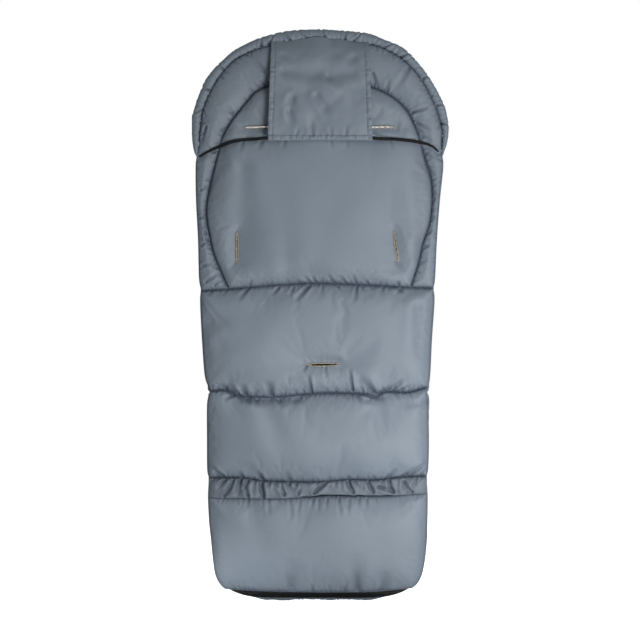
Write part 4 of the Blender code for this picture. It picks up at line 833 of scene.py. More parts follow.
# Hood casing. A tunnel of the same nylon sewn round the hood's edge and gathered by the elastic
# inside it, so it is full of puckers that start at the seam. Its ends are tucked into the sides.
CASING_SEAM = [(-0.2142, -0.2030), (-0.2128, -0.1920)] + HOOD_SEAM + [(0.2190, -0.1820), (0.2180, -0.2030)]
CASING_RIM = tenths(
    (-2165, -2050), (-2205, -1950), (-2238, -1740), (-2242, -1364), (-2206, -1223), (-2153, -1046),
    (-2082, -868), (-2002, -691), (-1870, -514), (-1692, -337), (-1533, -195), (-1356, -89), (-1108, 27),
    (-753, 133), (-434, 186), (-9, 204), (363, 186), (877, 133), (1161, 27), (1444, -89), (1586, -195),
    (1728, -337), (1870, -514), (1994, -691), (2100, -868), (2188, -1046), (2259, -1223), (2294, -1400),
    (2310, -1577), (2285, -1790), (2241, -1932), (2200, -2045))
CASING_DEPTH = 0.0062
CASING_SIDES = 24
MAIN_PUCKERS = tenths(
    (-257, 106), (97, 106), (470, 90), (-1010, -60), (-842, 0), (1214, -115), (1515, -270), (1860, -660),
    (2100, -1150), (2200, -1480), (-2130, -1250), (-2010, -850), (-1720, -480), (690, 60), (-560, 100))


def rows_at(spots, reach, table):
    """Rows of a table at distances along a line, where reach is each row's own distance."""
    return np.stack([np.interp(spots, reach, column) for column in table.T], axis=-1)


def even_line(points, count):
    """A smooth line through the points, at evenly spaced stations."""
    line = np.array(smooth_line(points, 0.002))
    reach = reach_along(line)
    return rows_at(np.linspace(0.0, reach[-1], count), reach, line)


chance = np.random.default_rng(21)
stations = 860
inner_line, rim_line = even_line(CASING_SEAM, stations), even_line(CASING_RIM, stations)
middle_line = 0.5 * (inner_line + rim_line)
reach = reach_along(middle_line)
puckers = []
for px, pz in MAIN_PUCKERS:
    k = np.argmin(np.linalg.norm(middle_line - (px, pz), axis=1))
    puckers.append((reach[k], 0.0018 + 0.0007 * chance.random(), 0.60 + 0.14 * chance.random(),
                    chance.normal() * 0.5))
spot = 0.004
while spot < reach[-1]:
    puckers.append((spot, 0.0013 + 0.0012 * chance.random(), 0.06 + 0.17 * chance.random() ** 1.5,
                    chance.normal() * 0.9))
    spot += 0.0045 + 0.0065 * chance.random()
angles = np.linspace(0.0, 2.0 * math.pi, CASING_SIDES, endpoint=False)
half_wide = 0.5 * np.linalg.norm(rim_line - inner_line, axis=1)[:, None]
outward = (rim_line - inner_line) / (2.0 * half_wide)
shrink = np.zeros((stations, CASING_SIDES))
swelling = np.array([noise.noise(Vector((s / 0.022, 0.0, 5.0))) for s in reach])[:, None]
for spot, width, deep, slant in puckers:
    away = reach[:, None] - spot - slant * half_wide * np.cos(angles)
    shrink += deep * np.exp(-(away / width) ** 2) * (0.62 - 0.38 * np.cos(angles))
    shrink -= 0.22 * deep * np.exp(-((np.abs(away) - 2.2 * width) / (1.3 * width)) ** 2)
ends = np.clip(np.minimum(reach, reach[-1] - reach) / 0.018, 0.0, 1.0)[:, None]
size = np.clip(1.0 - shrink + 0.05 * swelling, 0.30, 1.12)
across = half_wide * np.cos(angles) * (1.0 - 0.55 * (1.0 - size))
depth = CASING_DEPTH * (0.55 + 0.45 * ends) * np.sin(angles) * size
rings = np.empty((stations, CASING_SIDES, 3))
rings[..., 0] = middle_line[:, None, 0] + outward[:, None, 0] * across
rings[..., 1] = depth
rings[..., 2] = middle_line[:, None, 1] + outward[:, None, 1] * across
casing = tube_piece("hood_casing_gathered", rings, shell_nylon)
# Painted shade in the deep puckers and along the tunnel's side at its seam.
store_painted_shade(casing.data, np.clip(2.0 * (shrink - 0.12) + 0.5 * (np.cos(angles) < -0.9), 0.0, 0.8).ravel())
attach(casing, "muff_back")
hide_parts("hood_casing")


# Backrest flap. One layer of nylon that goes over the seat's backrest, sewn in at the top. Its
# sides are hemmed and its foot is turned in as a tunnel for the elastic, with puckered stitching.
FLAP_LEFT = -0.0898
FLAP_RIGHT = 0.0952
FLAP_NARROWING = 0.0062
FLAP_TOP = tenths(
    (-1000, 4), (-700, 8), (-520, 4), (-360, 22), (-200, 44), (-90, 66), (10, 74), (120, 60), (220, 26),
    (340, 30), (450, 12), (600, -12), (800, -30), (1000, -40))
FLAP_FALL = tenths(
    (-36, 8), (-102, -80), (-156, -180), (-195, -320), (-222, -500), (-250, -740), (-274, -1020),
    (-286, -1300))
FLAP_OUT = 0.0286
FLAP_RETURN = 0.0245
FLAP_FOOT = -0.1762
FLAP_HEM = 0.0072
FLAP_SIDE_HEM = 0.0078
FLAP_PLY = 0.0010
FLAP_COLUMNS = 112
FLAP_FOLDS = tenths(
    (-461, -1028, -514, -1276, 80, 22), (-514, -1276, -443, -1542, 70, 19), (-594, -567, 594, -656, 120, 19),
    (-27, -992, 239, -1364, 70, 16), (186, -673, 452, -762, 80, 16), (594, -602, -540, -620, 110, 16),
    (-115, -1683, -151, -1382, 45, 14), (221, -1683, 195, -1524, 32, 10), (470, -1683, 505, -1506, 32, 9),
    (-399, -1683, -346, -1542, 30, 9), (629, -319, 275, -673, 90, 12), (-629, -266, -363, -408, 70, 9),
    (115, -1223, 381, -957, 90, 9))


def flap_profile():
    """Depth and level down the flap, round its foot and up the inside of the hem."""
    line = smooth_line(FLAP_FALL, 0.0022)
    straight = FLAP_FOOT - line[-1][1]
    steps = max(2, round(-straight / 0.0018))
    line += [(-FLAP_OUT, FLAP_FOOT - straight * (1.0 - k / steps)) for k in range(1, steps + 1)]
    front = len(line)
    half = 0.5 * (FLAP_OUT - FLAP_RETURN)
    for k in range(1, 6):
        angle = math.pi * k / 6.0
        line.append((-FLAP_OUT + half * (1.0 - math.cos(angle)), FLAP_FOOT - half * math.sin(angle)))
    line += [(-FLAP_RETURN, FLAP_FOOT + 0.0115 * k / 6.0) for k in range(7)]
    return np.array(line), front


def cloth_grid(name, points, material):
    """A sheet through a grid of points."""
    index = np.arange(points.size // 3).reshape(points.shape[:2])
    quads = np.stack([index[:-1, :-1], index[1:, :-1], index[1:, 1:], index[:-1, 1:]], axis=-1)
    return mesh_piece(name, points.reshape(-1, 3).tolist(), quads.reshape(-1, 4).tolist(), material)


def swell_on(grid, size, seed, stretch=(1.0, 1.0)):
    """Unevenness on the points of a grid, stretched along X and Z."""
    return swell(np.reshape(grid, (-1, 2)) * stretch, size, seed).reshape(grid.shape[:2])


profile, front_rows = flap_profile()
shares = np.linspace(0.0, 1.0, FLAP_COLUMNS + 1)
narrow = FLAP_NARROWING * np.clip(1.0 + profile[:, 1] / 0.175, 0.0, 1.0)
edge_wave = np.array([0.0007 * noise.noise(Vector((z / 0.011, 3.0, 1.0))) for z in profile[:, 1]])
lefts = FLAP_LEFT + narrow + edge_wave
rights = FLAP_RIGHT - narrow + edge_wave[::-1]
flap_x = lefts[:, None] + (rights - lefts)[:, None] * shares
flap_z = np.repeat(profile[:, 1:2], FLAP_COLUMNS + 1, axis=1)
flap_y = np.repeat(profile[:, 0:1], FLAP_COLUMNS + 1, axis=1)
rise = np.interp(flap_x, *np.array(smooth_line(FLAP_TOP, 0.004)).T) * np.exp(np.minimum(flap_z, 0.0) / 0.012)
flap_z = flap_z + rise
flap_y = flap_y - 0.55 * np.clip(rise, 0.0, None)
spots = np.stack([flap_x, flap_z], axis=-1)
hang = np.clip(-flap_z / 0.030, 0.0, 1.0)
creases = 1.5 * fold_depth(spots.reshape(-1, 2), FLAP_FOLDS)[0].reshape(flap_x.shape)
wave = 0.0020 + 0.0030 * swell_on(spots, 0.040, 2.0) - creases + 0.0004 * swell_on(spots, 0.013, 4.0)
from_side = np.minimum(flap_x - lefts[:, None], rights[:, None] - flap_x)
from_foot = flap_z - FLAP_FOOT
pucker_down = swell_on(spots, 0.010, 7.0, (0.6, 2.6))
pucker_over = swell_on(spots, 0.010, 8.0, (2.6, 0.6))
side_zone = np.exp(-((from_side - 0.5 * FLAP_SIDE_HEM) / 0.0050) ** 2)
foot_zone = np.exp(-((from_foot - 0.5 * FLAP_HEM) / 0.0055) ** 2)
wave += 0.0024 * pucker_down * side_zone
wave += 0.0020 * pucker_over * foot_zone
stitched = np.exp(-(np.minimum(np.abs(from_side - FLAP_SIDE_HEM), np.abs(from_foot - FLAP_HEM)) / 0.0011) ** 2)
hem_swell = 0.0005 * (from_side < FLAP_SIDE_HEM) + 0.0006 * (from_foot < FLAP_HEM)
wave += hem_swell - 0.0008 * stitched
top_wave = 0.0008 * swell_on(spots, 0.018, 6.0) * np.exp(flap_z / 0.012)
front = np.zeros_like(flap_x)
front[:front_rows] = 1.0
wave_low = -0.0026 + 0.0024 * np.exp(-np.clip((from_foot - 0.006) / 0.004, 0.0, None) ** 2)
flap_y -= front * hang * np.clip(wave, wave_low, 0.0060) + front * top_wave
flap_points = np.stack([flap_x, flap_y, flap_z], axis=-1)
flap = cloth_grid("backrest_flap_cloth", flap_points, shell_nylon)
# Painted shade along the hem stitching, in the side hems' puckers and in the folds.
stitched *= np.clip(0.55 + 1.2 * swell_on(spots, 0.0045, 8.0), 0.0, 1.0)
stitched = np.maximum(stitched, 1.4 * np.clip(-pucker_down - 0.15, 0.0, 1.0) * side_zone)
shade = front * (60.0 * np.clip(creases, 0.0, None) + 0.75 * stitched)
store_painted_shade(flap.data, np.clip(shade, 0.0, 0.8).ravel())


def apply_solidify(piece, thickness):
    """Give a sheet its thickness and keep it as mesh."""
    bpy.ops.object.select_all(action="DESELECT")
    piece.select_set(True)
    bpy.context.view_layer.objects.active = piece
    ply = piece.modifiers.new("ply", "SOLIDIFY")
    ply.thickness = thickness
    ply.offset = -1.0
    bpy.ops.object.modifier_apply(modifier="ply")


apply_solidify(flap, FLAP_PLY)
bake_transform(flap)
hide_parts("backrest_flap")

STITCH = 0.0026
STITCH_PITCH = 0.0038
STITCH_THICK = 0.00028
thread, tree = new_finish("grey_thread", Roughness=0.7)
two_tone(tree, speckle(tree, 900.0, 1.0), (0.075, 0.090, 0.112), (0.115, 0.135, 0.160))


def stitch_row(name, points):
    """A row of stitches along a line of the flap: short spindles that lie on the cloth."""
    points = np.array(points)
    reach = reach_along(points)
    up = Vector((0.0, -1.0, 0.0))
    places, faces, spot = [], [], 0.5 * STITCH_PITCH
    while spot + STITCH < reach[-1]:
        first = len(places)
        along = Vector(rows_at(spot + STITCH, reach, points) - rows_at(spot, reach, points)).normalized()
        side = along.cross(up).normalized()
        for share, size in ((0.0, 0.35), (0.2, 1.0), (0.8, 1.0), (1.0, 0.35)):
            middle = Vector(rows_at(spot + share * STITCH, reach, points))
            lift = STITCH_THICK * (0.5 if share in (0.2, 0.8) else -0.6)
            for k in range(6):
                angle = math.pi * k / 3.0
                places.append(middle + up * (lift + STITCH_THICK * size * math.sin(angle))
                              + side * STITCH_THICK * size * math.cos(angle))
        for row in (0, 6, 12):
            faces += [[first + row + n for n in (k, (k + 1) % 6, 6 + (k + 1) % 6, 6 + k)] for k in range(6)]
        faces += [[first + 5 - k for k in range(6)], [first + 18 + k for k in range(6)]]
        spot += STITCH_PITCH
    piece = mesh_piece(name, places, faces, thread, outwards=True)
    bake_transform(piece)
    return piece


def flap_column(x_share):
    """Points down the front of the flap, at a share of its width."""
    column = min(int(round(x_share * FLAP_COLUMNS)), FLAP_COLUMNS)
    return [tuple(flap_points[row, column]) for row in range(12, front_rows - 4)]


wide = FLAP_RIGHT - FLAP_LEFT
for word, share in (("left", FLAP_SIDE_HEM / wide), ("right", 1.0 - FLAP_SIDE_HEM / wide)):
    stitch_row("flap_stitches_" + word, flap_column(share))
row = int(np.argmin(np.abs(profile[:front_rows, 1] - FLAP_FOOT - FLAP_HEM)))
line = [tuple(flap_points[row, column]) for column in range(2, FLAP_COLUMNS - 1)]
stitch_row("flap_stitches_foot", line)


# Backrest elastic. A flat black braided elastic runs from one side seam to the other through the
# hem of the flap, tight enough to sink into the padding. It is sewn in at both side seams.
ELASTIC_WIDTH = 0.0058
ELASTIC_THICK = 0.0013

elastic, tree = new_finish("black_elastic", Roughness=0.75, Specular_IOR_Level=0.25, Sheen_Weight=0.04)
two_tone(tree, speckle(tree, 240.0, 2.0), (0.003, 0.003, 0.0035), (0.008, 0.008, 0.009))
bump(tree, threads(tree, "X", 260.0, 0.6), 0.0003, 0.5)


def depth_over(things):
    """A function that gives the outermost -Y depth of the things over a spot."""
    trees = []
    for thing in things:
        points = [v.co.copy() for v in thing.data.vertices]
        trees.append(BVHTree.FromPolygons(points, [p.vertices for p in thing.data.polygons]))

    def depth(x, z):
        hits = [tree.ray_cast(Vector((x, -1.0, z)), Vector((0.0, 1.0, 0.0)))[0] for tree in trees]
        return min([hit.y for hit in hits if hit] or [0.0])

    return depth


back_depth = depth_over([centre_quilt, surround_quilt])


def elastic_band(name, route):
    """A flat band with rounded edges along a route that faces -Y."""
    rings = []
    route = np.array(route)
    for k, p in enumerate(route):
        a, b = route[max(k - 1, 0)], route[min(k + 1, len(route) - 1)]
        along = Vector(b - a).normalized()
        out = Vector((0.0, -1.0, 0.0))
        side = along.cross(out).normalized()
        out = side.cross(along).normalized()
        ring = []
        for u, v in ((0.5, 0.15), (0.44, 0.5), (0.0, 0.62), (-0.44, 0.5), (-0.5, 0.15),
                     (-0.44, -0.3), (0.0, -0.4), (0.44, -0.3)):
            wide = ELASTIC_WIDTH * (0.5 + 0.5 * min(max((0.213 - abs(p[0])) / 0.035, 0.0), 1.0))
            ring.append(Vector(p) + side * u * wide + out * v * ELASTIC_THICK)
        rings.append([tuple(q) for q in ring])
    piece = tube_piece(name, np.array(rings), elastic)
    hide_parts("backrest_elastic")
    return piece


line = np.array(smooth_line(ELASTIC_LINE, 0.003))
hem_y = -0.5 * (FLAP_OUT + FLAP_RETURN) - 0.0001
hem_z = FLAP_FOOT + 0.0030
for word, side in (("left", -1.0), ("right", 1.0)):
    part = line[(line[:, 0] * side >= 0.088)]
    if side > 0:
        part = part[::-1]
    levels = [min(back_depth(x + dx, z + dz) for dx in (-0.002, 0.0, 0.002) for dz in (-0.0025, 0.0, 0.0025))
              for x, z in part]
    route = []
    for (x, z), y in zip(part, levels):
        share = min(max((abs(x) - 0.094) / 0.030, 0.0), 1.0)
        share = share * share * (3.0 - 2.0 * share)
        level = hem_y + (y - 0.0007 - hem_y) * share
        route.append((x, min(level, y - 0.0004), hem_z + (z - hem_z) * min(1.0, 3.0 * share)))
    route = np.array(route)
    for _ in range(2):
        eased = 0.25 * route[:-2, 1] + 0.5 * route[1:-1, 1] + 0.25 * route[2:, 1]
        route[1:-1, 1] = np.minimum(route[1:-1, 1], eased)
    route[0, 1] = route[1, 1] + 0.0015
    band = elastic_band("backrest_elastic_" + word, route)
    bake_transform(band)
route = [(x, hem_y, hem_z) for x in np.linspace(-0.0885, 0.0885, 40)]
band = elastic_band("backrest_elastic_hem", route)
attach(band, "flap")


# Harness slots. Each slot is cut through back, wadding and fleece, and its raw edges are whipped
# over and over with cream thread. The soft lips almost close it. Painted shade darkens the nylon round it.
LIP_PITCH = 0.0016
LIP_STEP = 0.0004
LIP_SPREAD = 0.0012
LIP_ROUND = 0.0011

binding, tree = new_finish("slot_thread", Roughness=0.78)
two_tone(tree, speckle(tree, 520.0, 3.0), (0.09, 0.080, 0.068), (0.66, 0.60, 0.48))
bump(tree, speckle(tree, 1200.0, 2.0), 0.0004, 0.6)


def bound_slot(name, node, place, seed, depth):
    """Whipped lips round one slot, laid on the back's face."""
    loop = np.array(slot_loop(place, LIP_SPREAD, LIP_STEP))
    count = len(loop)
    along = unit(np.roll(loop, -1, axis=0) - np.roll(loop, 1, axis=0))
    out = np.stack([along[:, 1], -along[:, 0]], axis=1)
    levels = np.array([min(depth(*(p + o * 0.0024)), depth(*(p + o * 0.0040))) for p, o in zip(loop, out)])
    ease = np.ones(15) / 15.0
    levels = np.convolve(np.concatenate([levels[-7:], levels, levels[:7]]), ease, "valid")
    steps = np.arange(count)
    uneven = np.array([noise.noise(Vector((k * LIP_STEP / 0.0045, seed, 0.0))) for k in steps])
    whip = np.abs(np.sin(math.pi * steps * LIP_STEP / LIP_PITCH))
    round_ = LIP_ROUND * (0.66 + 0.42 * whip + 0.75 * uneven)
    angles = np.linspace(0.0, 2.0 * math.pi, 8, endpoint=False)
    grid = np.empty((count, 8, 3))
    across = round_[:, None] * np.cos(angles)
    grid[..., 0] = loop[:, None, 0] + out[:, None, 0] * across
    grid[..., 2] = loop[:, None, 1] + out[:, None, 1] * across
    grid[..., 1] = (levels + 0.0001)[:, None] - 1.1 * round_[:, None] * np.sin(angles)
    index = np.arange(count * 8).reshape(count, 8)
    after = np.roll(index, -1, axis=0)
    quads = np.stack([index, np.roll(index, -1, axis=1), np.roll(after, -1, axis=1), after], axis=-1)
    piece = mesh_piece(name, grid.reshape(-1, 3).tolist(), quads.reshape(-1, 4).tolist(), binding,
                       outwards=True)
    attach(piece, "muff_back")
    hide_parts(node)


seat_depth = depth_over([seat_quilt])
bound_slot("shoulder_slot_lips_left", "shoulder_slot_left_binding", SHOULDER_SLOTS[0], 51, back_depth)
bound_slot("shoulder_slot_lips_right", "shoulder_slot_right_binding", SHOULDER_SLOTS[1], 52, back_depth)
bound_slot("waist_slot_lips_left", "waist_slot_left_binding", WAIST_SLOTS[0], 53, back_depth)
bound_slot("waist_slot_lips_right", "waist_slot_right_binding", WAIST_SLOTS[1], 54, back_depth)
bound_slot("crotch_slot_lips", "crotch_slot_binding", CROTCH_SLOT, 55, seat_depth)


# Storm strip and the zip under it. A gathered strip of nylon is sewn along its top over a black
# zip by which the muff's length is changed. Its foot is turned in and lies free on the foot panel.
STRIP_FOOT = tenths(
    (-2000, -8085), (-1852, -8088), (-983, -8096), (-540, -8092), (-186, -8058), (186, -8024), (434, -8034),
    (1178, -8038), (1533, -8032), (1905, -8009), (2000, -8005))
STRIP_PLY = 0.0010
# The strip's nylon is the shell's colour painted darker, as shade for the hollow it lies in between the padded
# panels.
STRIP_SHADED_DARK = (0.118, 0.146, 0.180)
STRIP_SHADED_LIGHT = (0.150, 0.184, 0.222)
STRIP_FOLDS = tenths(
    (-1675, -8063, -1533, -7885, 30, 20), (-1249, -8063, -1320, -7850, 34, 24),
    (-975, -8080, -1001, -7850, 34, 26), (-611, -8027, -682, -7850, 40, 22),
    (-363, -8027, -310, -7885, 30, 16), (-80, -8009, 62, -7850, 32, 24), (611, -7992, 540, -7850, 34, 22),
    (966, -7992, 895, -7850, 32, 22), (1320, -7992, 1249, -7850, 30, 22), (1657, -7992, 1533, -7885, 30, 18),
    (-1515, -7797, -1639, -8027, 34, 22), (-771, -7797, -824, -7992, 36, 20),
    (-1852, -7761, -1940, -7850, 28, 20), (-1648, -7770, -1799, -7930, 32, 26),
    (-1382, -7761, -1435, -8080, 45, 38), (-1258, -7797, -1373, -8009, 40, 28),
    (-1001, -7770, -1028, -8098, 42, 42), (-859, -7815, -948, -8027, 45, 22),
    (-540, -7788, -505, -8009, 50, 34), (-381, -7797, -452, -7992, 40, 22), (159, -7788, -71, -8001, 34, 36),
    (27, -7797, -142, -7974, 32, 24), (514, -7788, 567, -7974, 45, 34), (638, -7797, 718, -7921, 34, 20),
    (868, -7788, 930, -7974, 38, 32), (1240, -7752, 1276, -7983, 34, 30), (1072, -7903, 1524, -8036, 40, 24),
    (1515, -7815, 1550, -8009, 45, 24), (1728, -7752, 1675, -7921, 32, 16), (310, -7797, 284, -7921, 30, 16))
columns, rows = 300, 26
half_left, half_right = side_at(LEFT_SIDE, -0.792) + 0.0006, side_at(RIGHT_SIDE, -0.790) - 0.0006
xs = np.linspace(half_left, half_right, columns + 1)
tops = np.interp(xs, *np.array(smooth_line(STRIP_SEAM, 0.004)).T)
feet = np.interp(xs, *np.array(smooth_line(STRIP_FOOT, 0.004)).T)
downs = np.linspace(0.0, 1.0, rows + 1)[:, None]
strip_x = np.repeat(xs[None, :], rows + 1, axis=0)
feet += 0.0014 * swell(np.stack([xs, feet], axis=1), 0.017, 12.0)
strip_z = tops + (feet - tops) * downs
spots = np.stack([strip_x, strip_z], axis=-1)
flat_spots = spots.reshape(-1, 2)
fine_folds = stitch_gathers([(x, z) for x, z in zip(xs[::10], tops[::10])], -1, 0.0075, 0.009, 0.0014, 61)
tall = np.repeat(0.0028 + 0.0066 * edge_roll(downs, 0.4), columns + 1, axis=1)
tall += 0.0018 * swell_on(spots, 0.017, 9.0) * edge_roll(downs, 0.3)
creases = 2.0 * fold_depth(flat_spots, STRIP_FOLDS)[0] + fold_depth(flat_spots, fine_folds)[0]
creases = creases.reshape(tall.shape)
tall -= creases * edge_roll(downs, 0.12)
tall += 0.0007 * np.exp(-((downs - 0.95) / 0.05) ** 2)
ends = np.clip(np.minimum(strip_x - half_left, half_right - strip_x) / 0.010, 0.0, 1.0)
tall = np.clip(tall, 0.0034, 0.0150) * (0.30 + 0.70 * np.sqrt(ends))
tuck = np.array([(-0.0012, 0.0024), (0.0004, 0.0034), (0.0030, 0.0036)])
strip_y = -tall
for dz, dy in tuck:
    strip_x = np.vstack([strip_x, strip_x[-1:]])
    strip_z = np.vstack([strip_z, feet + dz])
    strip_y = np.vstack([strip_y, np.minimum(-tall[-1:] + dy, -0.0040)])
strip = cloth_grid("storm_strip_gathered", np.stack([strip_x, strip_y, strip_z], axis=-1),
                   satin_nylon("strip_nylon_shaded", STRIP_SHADED_DARK, STRIP_SHADED_LIGHT))
# Painted shade in the folds and just under the strip's top seam.
creases = np.clip(180.0 * np.clip(creases, 0.0, None) + 0.6 * np.exp(-(downs / 0.10) ** 2), 0.0, 0.8)
store_painted_shade(strip.data, creases.ravel())
apply_solidify(strip, STRIP_PLY)
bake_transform(strip)
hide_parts("storm_flap")

zip_cloth, tree = new_finish("zip_tape", Roughness=0.82, Specular_IOR_Level=0.15)
two_tone(tree, speckle(tree, 180.0, 3.0), (0.006, 0.006, 0.007), (0.015, 0.015, 0.017))
woven(tree, 620.0, 0.0002, 0.5)

zip_nylon, tree = new_finish("zip_coil")
two_tone(tree, speckle(tree, 90.0, 2.0), (0.010, 0.010, 0.011), (0.024, 0.024, 0.026))
uneven_gloss(tree, 0.28, 0.50, speckle(tree, 60.0, 2.0))

TOOTH_PITCH = 0.0015


def teeth(name, node, body, line, outs, tooth, start=0.0):
    """Coil of a zip: rounded teeth along a line. outs are the tape's outward directions."""
    points, outs = np.array(line), np.array(outs)
    long, deep, tall = tooth
    reach = reach_along(points)
    spots = np.arange(start + 0.5 * long, reach[-1] - 0.5 * long, TOOTH_PITCH)
    places = rows_at(spots, reach, points)
    along = rows_at(spots + 0.002, reach, points) - rows_at(spots - 0.002, reach, points)
    along /= np.linalg.norm(along, axis=1, keepdims=True)
    out = rows_at(spots, reach, outs)
    out -= along * np.sum(out * along, axis=1, keepdims=True)
    out /= np.linalg.norm(out, axis=1, keepdims=True)
    over = np.cross(along, out)
    shape = [(u, v, w) for u in (-0.5, 0.5) for v, w in
             ((-0.5, -0.25), (-0.25, -0.5), (0.25, -0.5), (0.5, -0.25),
              (0.5, 0.25), (0.25, 0.5), (-0.25, 0.5), (-0.5, 0.25))]
    verts = np.concatenate([places + along * u * long + over * v * deep + out * w * tall
                            for u, v, w in shape]).reshape(16, -1, 3).transpose(1, 0, 2)
    one = [[k, (k + 1) % 8, 8 + (k + 1) % 8, 8 + k] for k in range(8)]
    one += [list(range(8))[::-1], list(range(8, 16))]
    skin = [[v + 16 * n for v in face] for n in range(len(places)) for face in one]
    piece = mesh_piece(name, verts.reshape(-1, 3).tolist(), skin, zip_nylon, smooth=False, outwards=True)
    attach(piece, body)
    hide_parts(node)


TAPE_LEVEL = -0.7935
tape_line = [(x, TAPE_LEVEL) for x in np.linspace(-0.1880, 0.1865, 60)]
tape = ribbon("length_zip_cloth", tape_line, 0.0330, -0.0012, -0.0004, zip_cloth, "zip_tape")
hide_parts("length_zip_tape")
coil_line = [(x, -0.0021, -0.7917) for x in np.linspace(-0.1815, 0.1800, 60)]
teeth("length_zip_teeth", "length_zip_coil", "muff_back", coil_line, [(0.0, -1.0, 0.0)] * 60,
      (0.0010, 0.0046, 0.0014))


# Fleece lining of the back. Deep-pile fleece covers the whole inside of the back, quilted through
# with the shell along the same seams, and stops at the zip on both sides.
FLEECE_BASE = 0.0002
ZIP_TOP_Z = -0.272
ZIP_TOP_HALF = 0.2050
ZIP_TAPER = 0.0362
ZIP_BACK_Y = 0.0034
ZIP_FRONT_Y = 0.0300
ZIP_HEEL_Z = -0.9695
ZIP_TOE_Z = -0.9870
HEEL_CORNER = 0.035
TOE_CORNER_X = 0.075
TOE_CORNER_Z = 0.045
ANKLE_Z = -0.7900

fleece, tree = new_finish("pile_fleece", Roughness=0.95, Sheen_Weight=0.55, Sheen_Roughness=0.5,
                          Specular_IOR_Level=0.2)
two_tone(tree, speckle(tree, 260.0, 5.0), (0.42, 0.38, 0.31), (0.86, 0.82, 0.74))
bump(tree, speckle(tree, 330.0, 6.0), 0.0040, 0.9)


def zip_half(z):
    """Half width of the side zip at a level."""
    return ZIP_TOP_HALF - ZIP_TAPER * (ZIP_TOP_Z - z)


def zip_turn(bottom, radius_x, radius_z, angle):
    """A point of the zip's lower corner."""
    z = bottom + radius_z * (1.0 - math.sin(angle))
    return zip_half(z) - radius_x * (1.0 - math.cos(angle)), z


def zip_line(bottom, radius_x, radius_z, top=ZIP_TOP_Z):
    """Right half of one edge of the side zip, from its top to the middle of the foot end."""
    levels = np.concatenate([np.linspace(top, ANKLE_Z + 0.0002, 150),
                             np.linspace(ANKLE_Z - 0.0002, bottom + radius_z, 40)[:-1]])
    line = [(zip_half(z), z) for z in levels]
    line += [zip_turn(bottom, radius_x, radius_z, math.radians(a)) for a in range(0, 91, 3)]
    return line + [(x, bottom) for x in np.linspace(line[-1][0], 0.0, 24)[1:]]


def on_lining(plan, height):
    """Places on the inside of the back, with the height towards +Y."""
    return np.stack([plan[:, 0], height, plan[:, 1]], axis=1)


heel_right = zip_line(ZIP_HEEL_Z, HEEL_CORNER, HEEL_CORNER)
heel = [(x - 0.0012, z) for x, z in heel_right[:-25]]
fleece_steps = [(0.0, 0.012, 0.0036), (0.012, 1.0, 0.0054)]
hood_inside = [(x * 0.994, z - 0.0012) for x, z in smooth_line(HOOD_SEAM, 0.004)][::-1]
upper_right = [(0.2120, -0.2620), (0.2150, -0.2400), (0.2150, -0.2000)]
lining_outline = heel[::-1] + upper_right + hood_inside + [(-x, z) for x, z in upper_right[::-1]]
lining_outline += [(-x, z) for x, z in heel]
quilt_seams = (ARCH_SEAM, WAIST_SEAM[1:-1], KNEE_SEAM[1:-1], STRIP_SEAM[1:-1])
seam_lines = [np.array(smooth_line(seam, 0.006)) for seam in quilt_seams]


def lining_press(plan):
    """The quilting pulls the fleece down along every seam and round every slot."""
    away = np.full(len(plan), 1.0)
    for line in seam_lines:
        away = np.minimum(away, line_distance(plan, line, closed=False))
    return 0.0030 * np.exp(-(away / 0.0048) ** 2)


quilt("back_fleece", lining_outline, "muff_back", ["back_lining"], place=on_lining, crown=0.0085, low=0.0026,
      base=FLEECE_BASE, holes=upper_cuts + [crotch_cut], slack=0.1, steps=fleece_steps, seed=17, limit=0.0078,
      press=lining_press, material=fleece, unevenness=0.0014, frames=8)


# Turned edge of the back. Outside the zip the nylon is folded round the wadding to the inside, so
# a narrow padded rim of it runs down both sides and round the heel corners.
RIM_BACK = -0.0003
rim_steps = [(0.0, 1.0, 0.0032)]
zip_right = np.array(heel_right)
for word, side, edge in (("left", -1.0, LEFT_SIDE), ("right", 1.0, RIGHT_SIDE)):
    outer = side_between(edge, -0.2450, edge[-1][1])
    foot_half = [p for p in smooth_line(FOOT_EDGE, 0.004) if 0.0 < p[0] * side < 0.164]
    outer += sorted(foot_half, key=lambda p: -abs(p[0]))
    inner = [(side * (x + 0.0008), z) for x, z in zip_right if x > 0.004]
    ring = outer + [(side * 0.002, outer[-1][1]), (side * 0.002, ZIP_HEEL_Z - 0.0006)] + inner[::-1]
    ring += [(side * 0.2125, -0.2500)]
    quilt("turned_edge_" + word, ring, "muff_back", [], place=on_lining, crown=0.0062, low=0.0008,
          base=RIM_BACK, slack=0.3, steps=rim_steps, seed=18, limit=0.0064, frames=6)


# Side zip. A black coil zip runs from the chest down both sides and round the foot end. One tape
# is sewn to the back's edge, the other to the cover, and they part at the ankle's fold.
TAPE_THICK = 0.0007
ZIP_MIDDLE = 0.5 * (ZIP_BACK_Y + ZIP_FRONT_Y)
COIL_AWAY = 0.00145
TAPE_AWAY = 0.0002
TAPE_END = 1.06

heel_path = np.array([(-x, z) for x, z in heel_right] + heel_right[::-1][1:])
toe_right = zip_line(ZIP_TOE_Z, TOE_CORNER_X, TOE_CORNER_Z)
toe_path = np.array([(-x, z) for x, z in toe_right] + toe_right[::-1][1:])


def zip_wall(share):
    """Points of the zip's wall at a share of the way from the back's edge to the cover's."""
    flat = heel_path + (toe_path - heel_path) * share
    y = ZIP_BACK_Y + (ZIP_FRONT_Y - ZIP_BACK_Y) * share
    return np.stack([flat[:, 0], np.full(len(flat), y), flat[:, 1]], axis=1)


def wall_outs(points):
    """Outward directions along the zip's wall."""
    out = np.cross(along_line(points), (0.0, 1.0, 0.0))
    out /= np.linalg.norm(out, axis=1, keepdims=True)
    middle = np.array((0.0, out[len(out) // 2][1], -0.55))
    flip = np.sum(out * (points - middle), axis=1, keepdims=True)
    return np.where(flip < 0.0, -out, out)


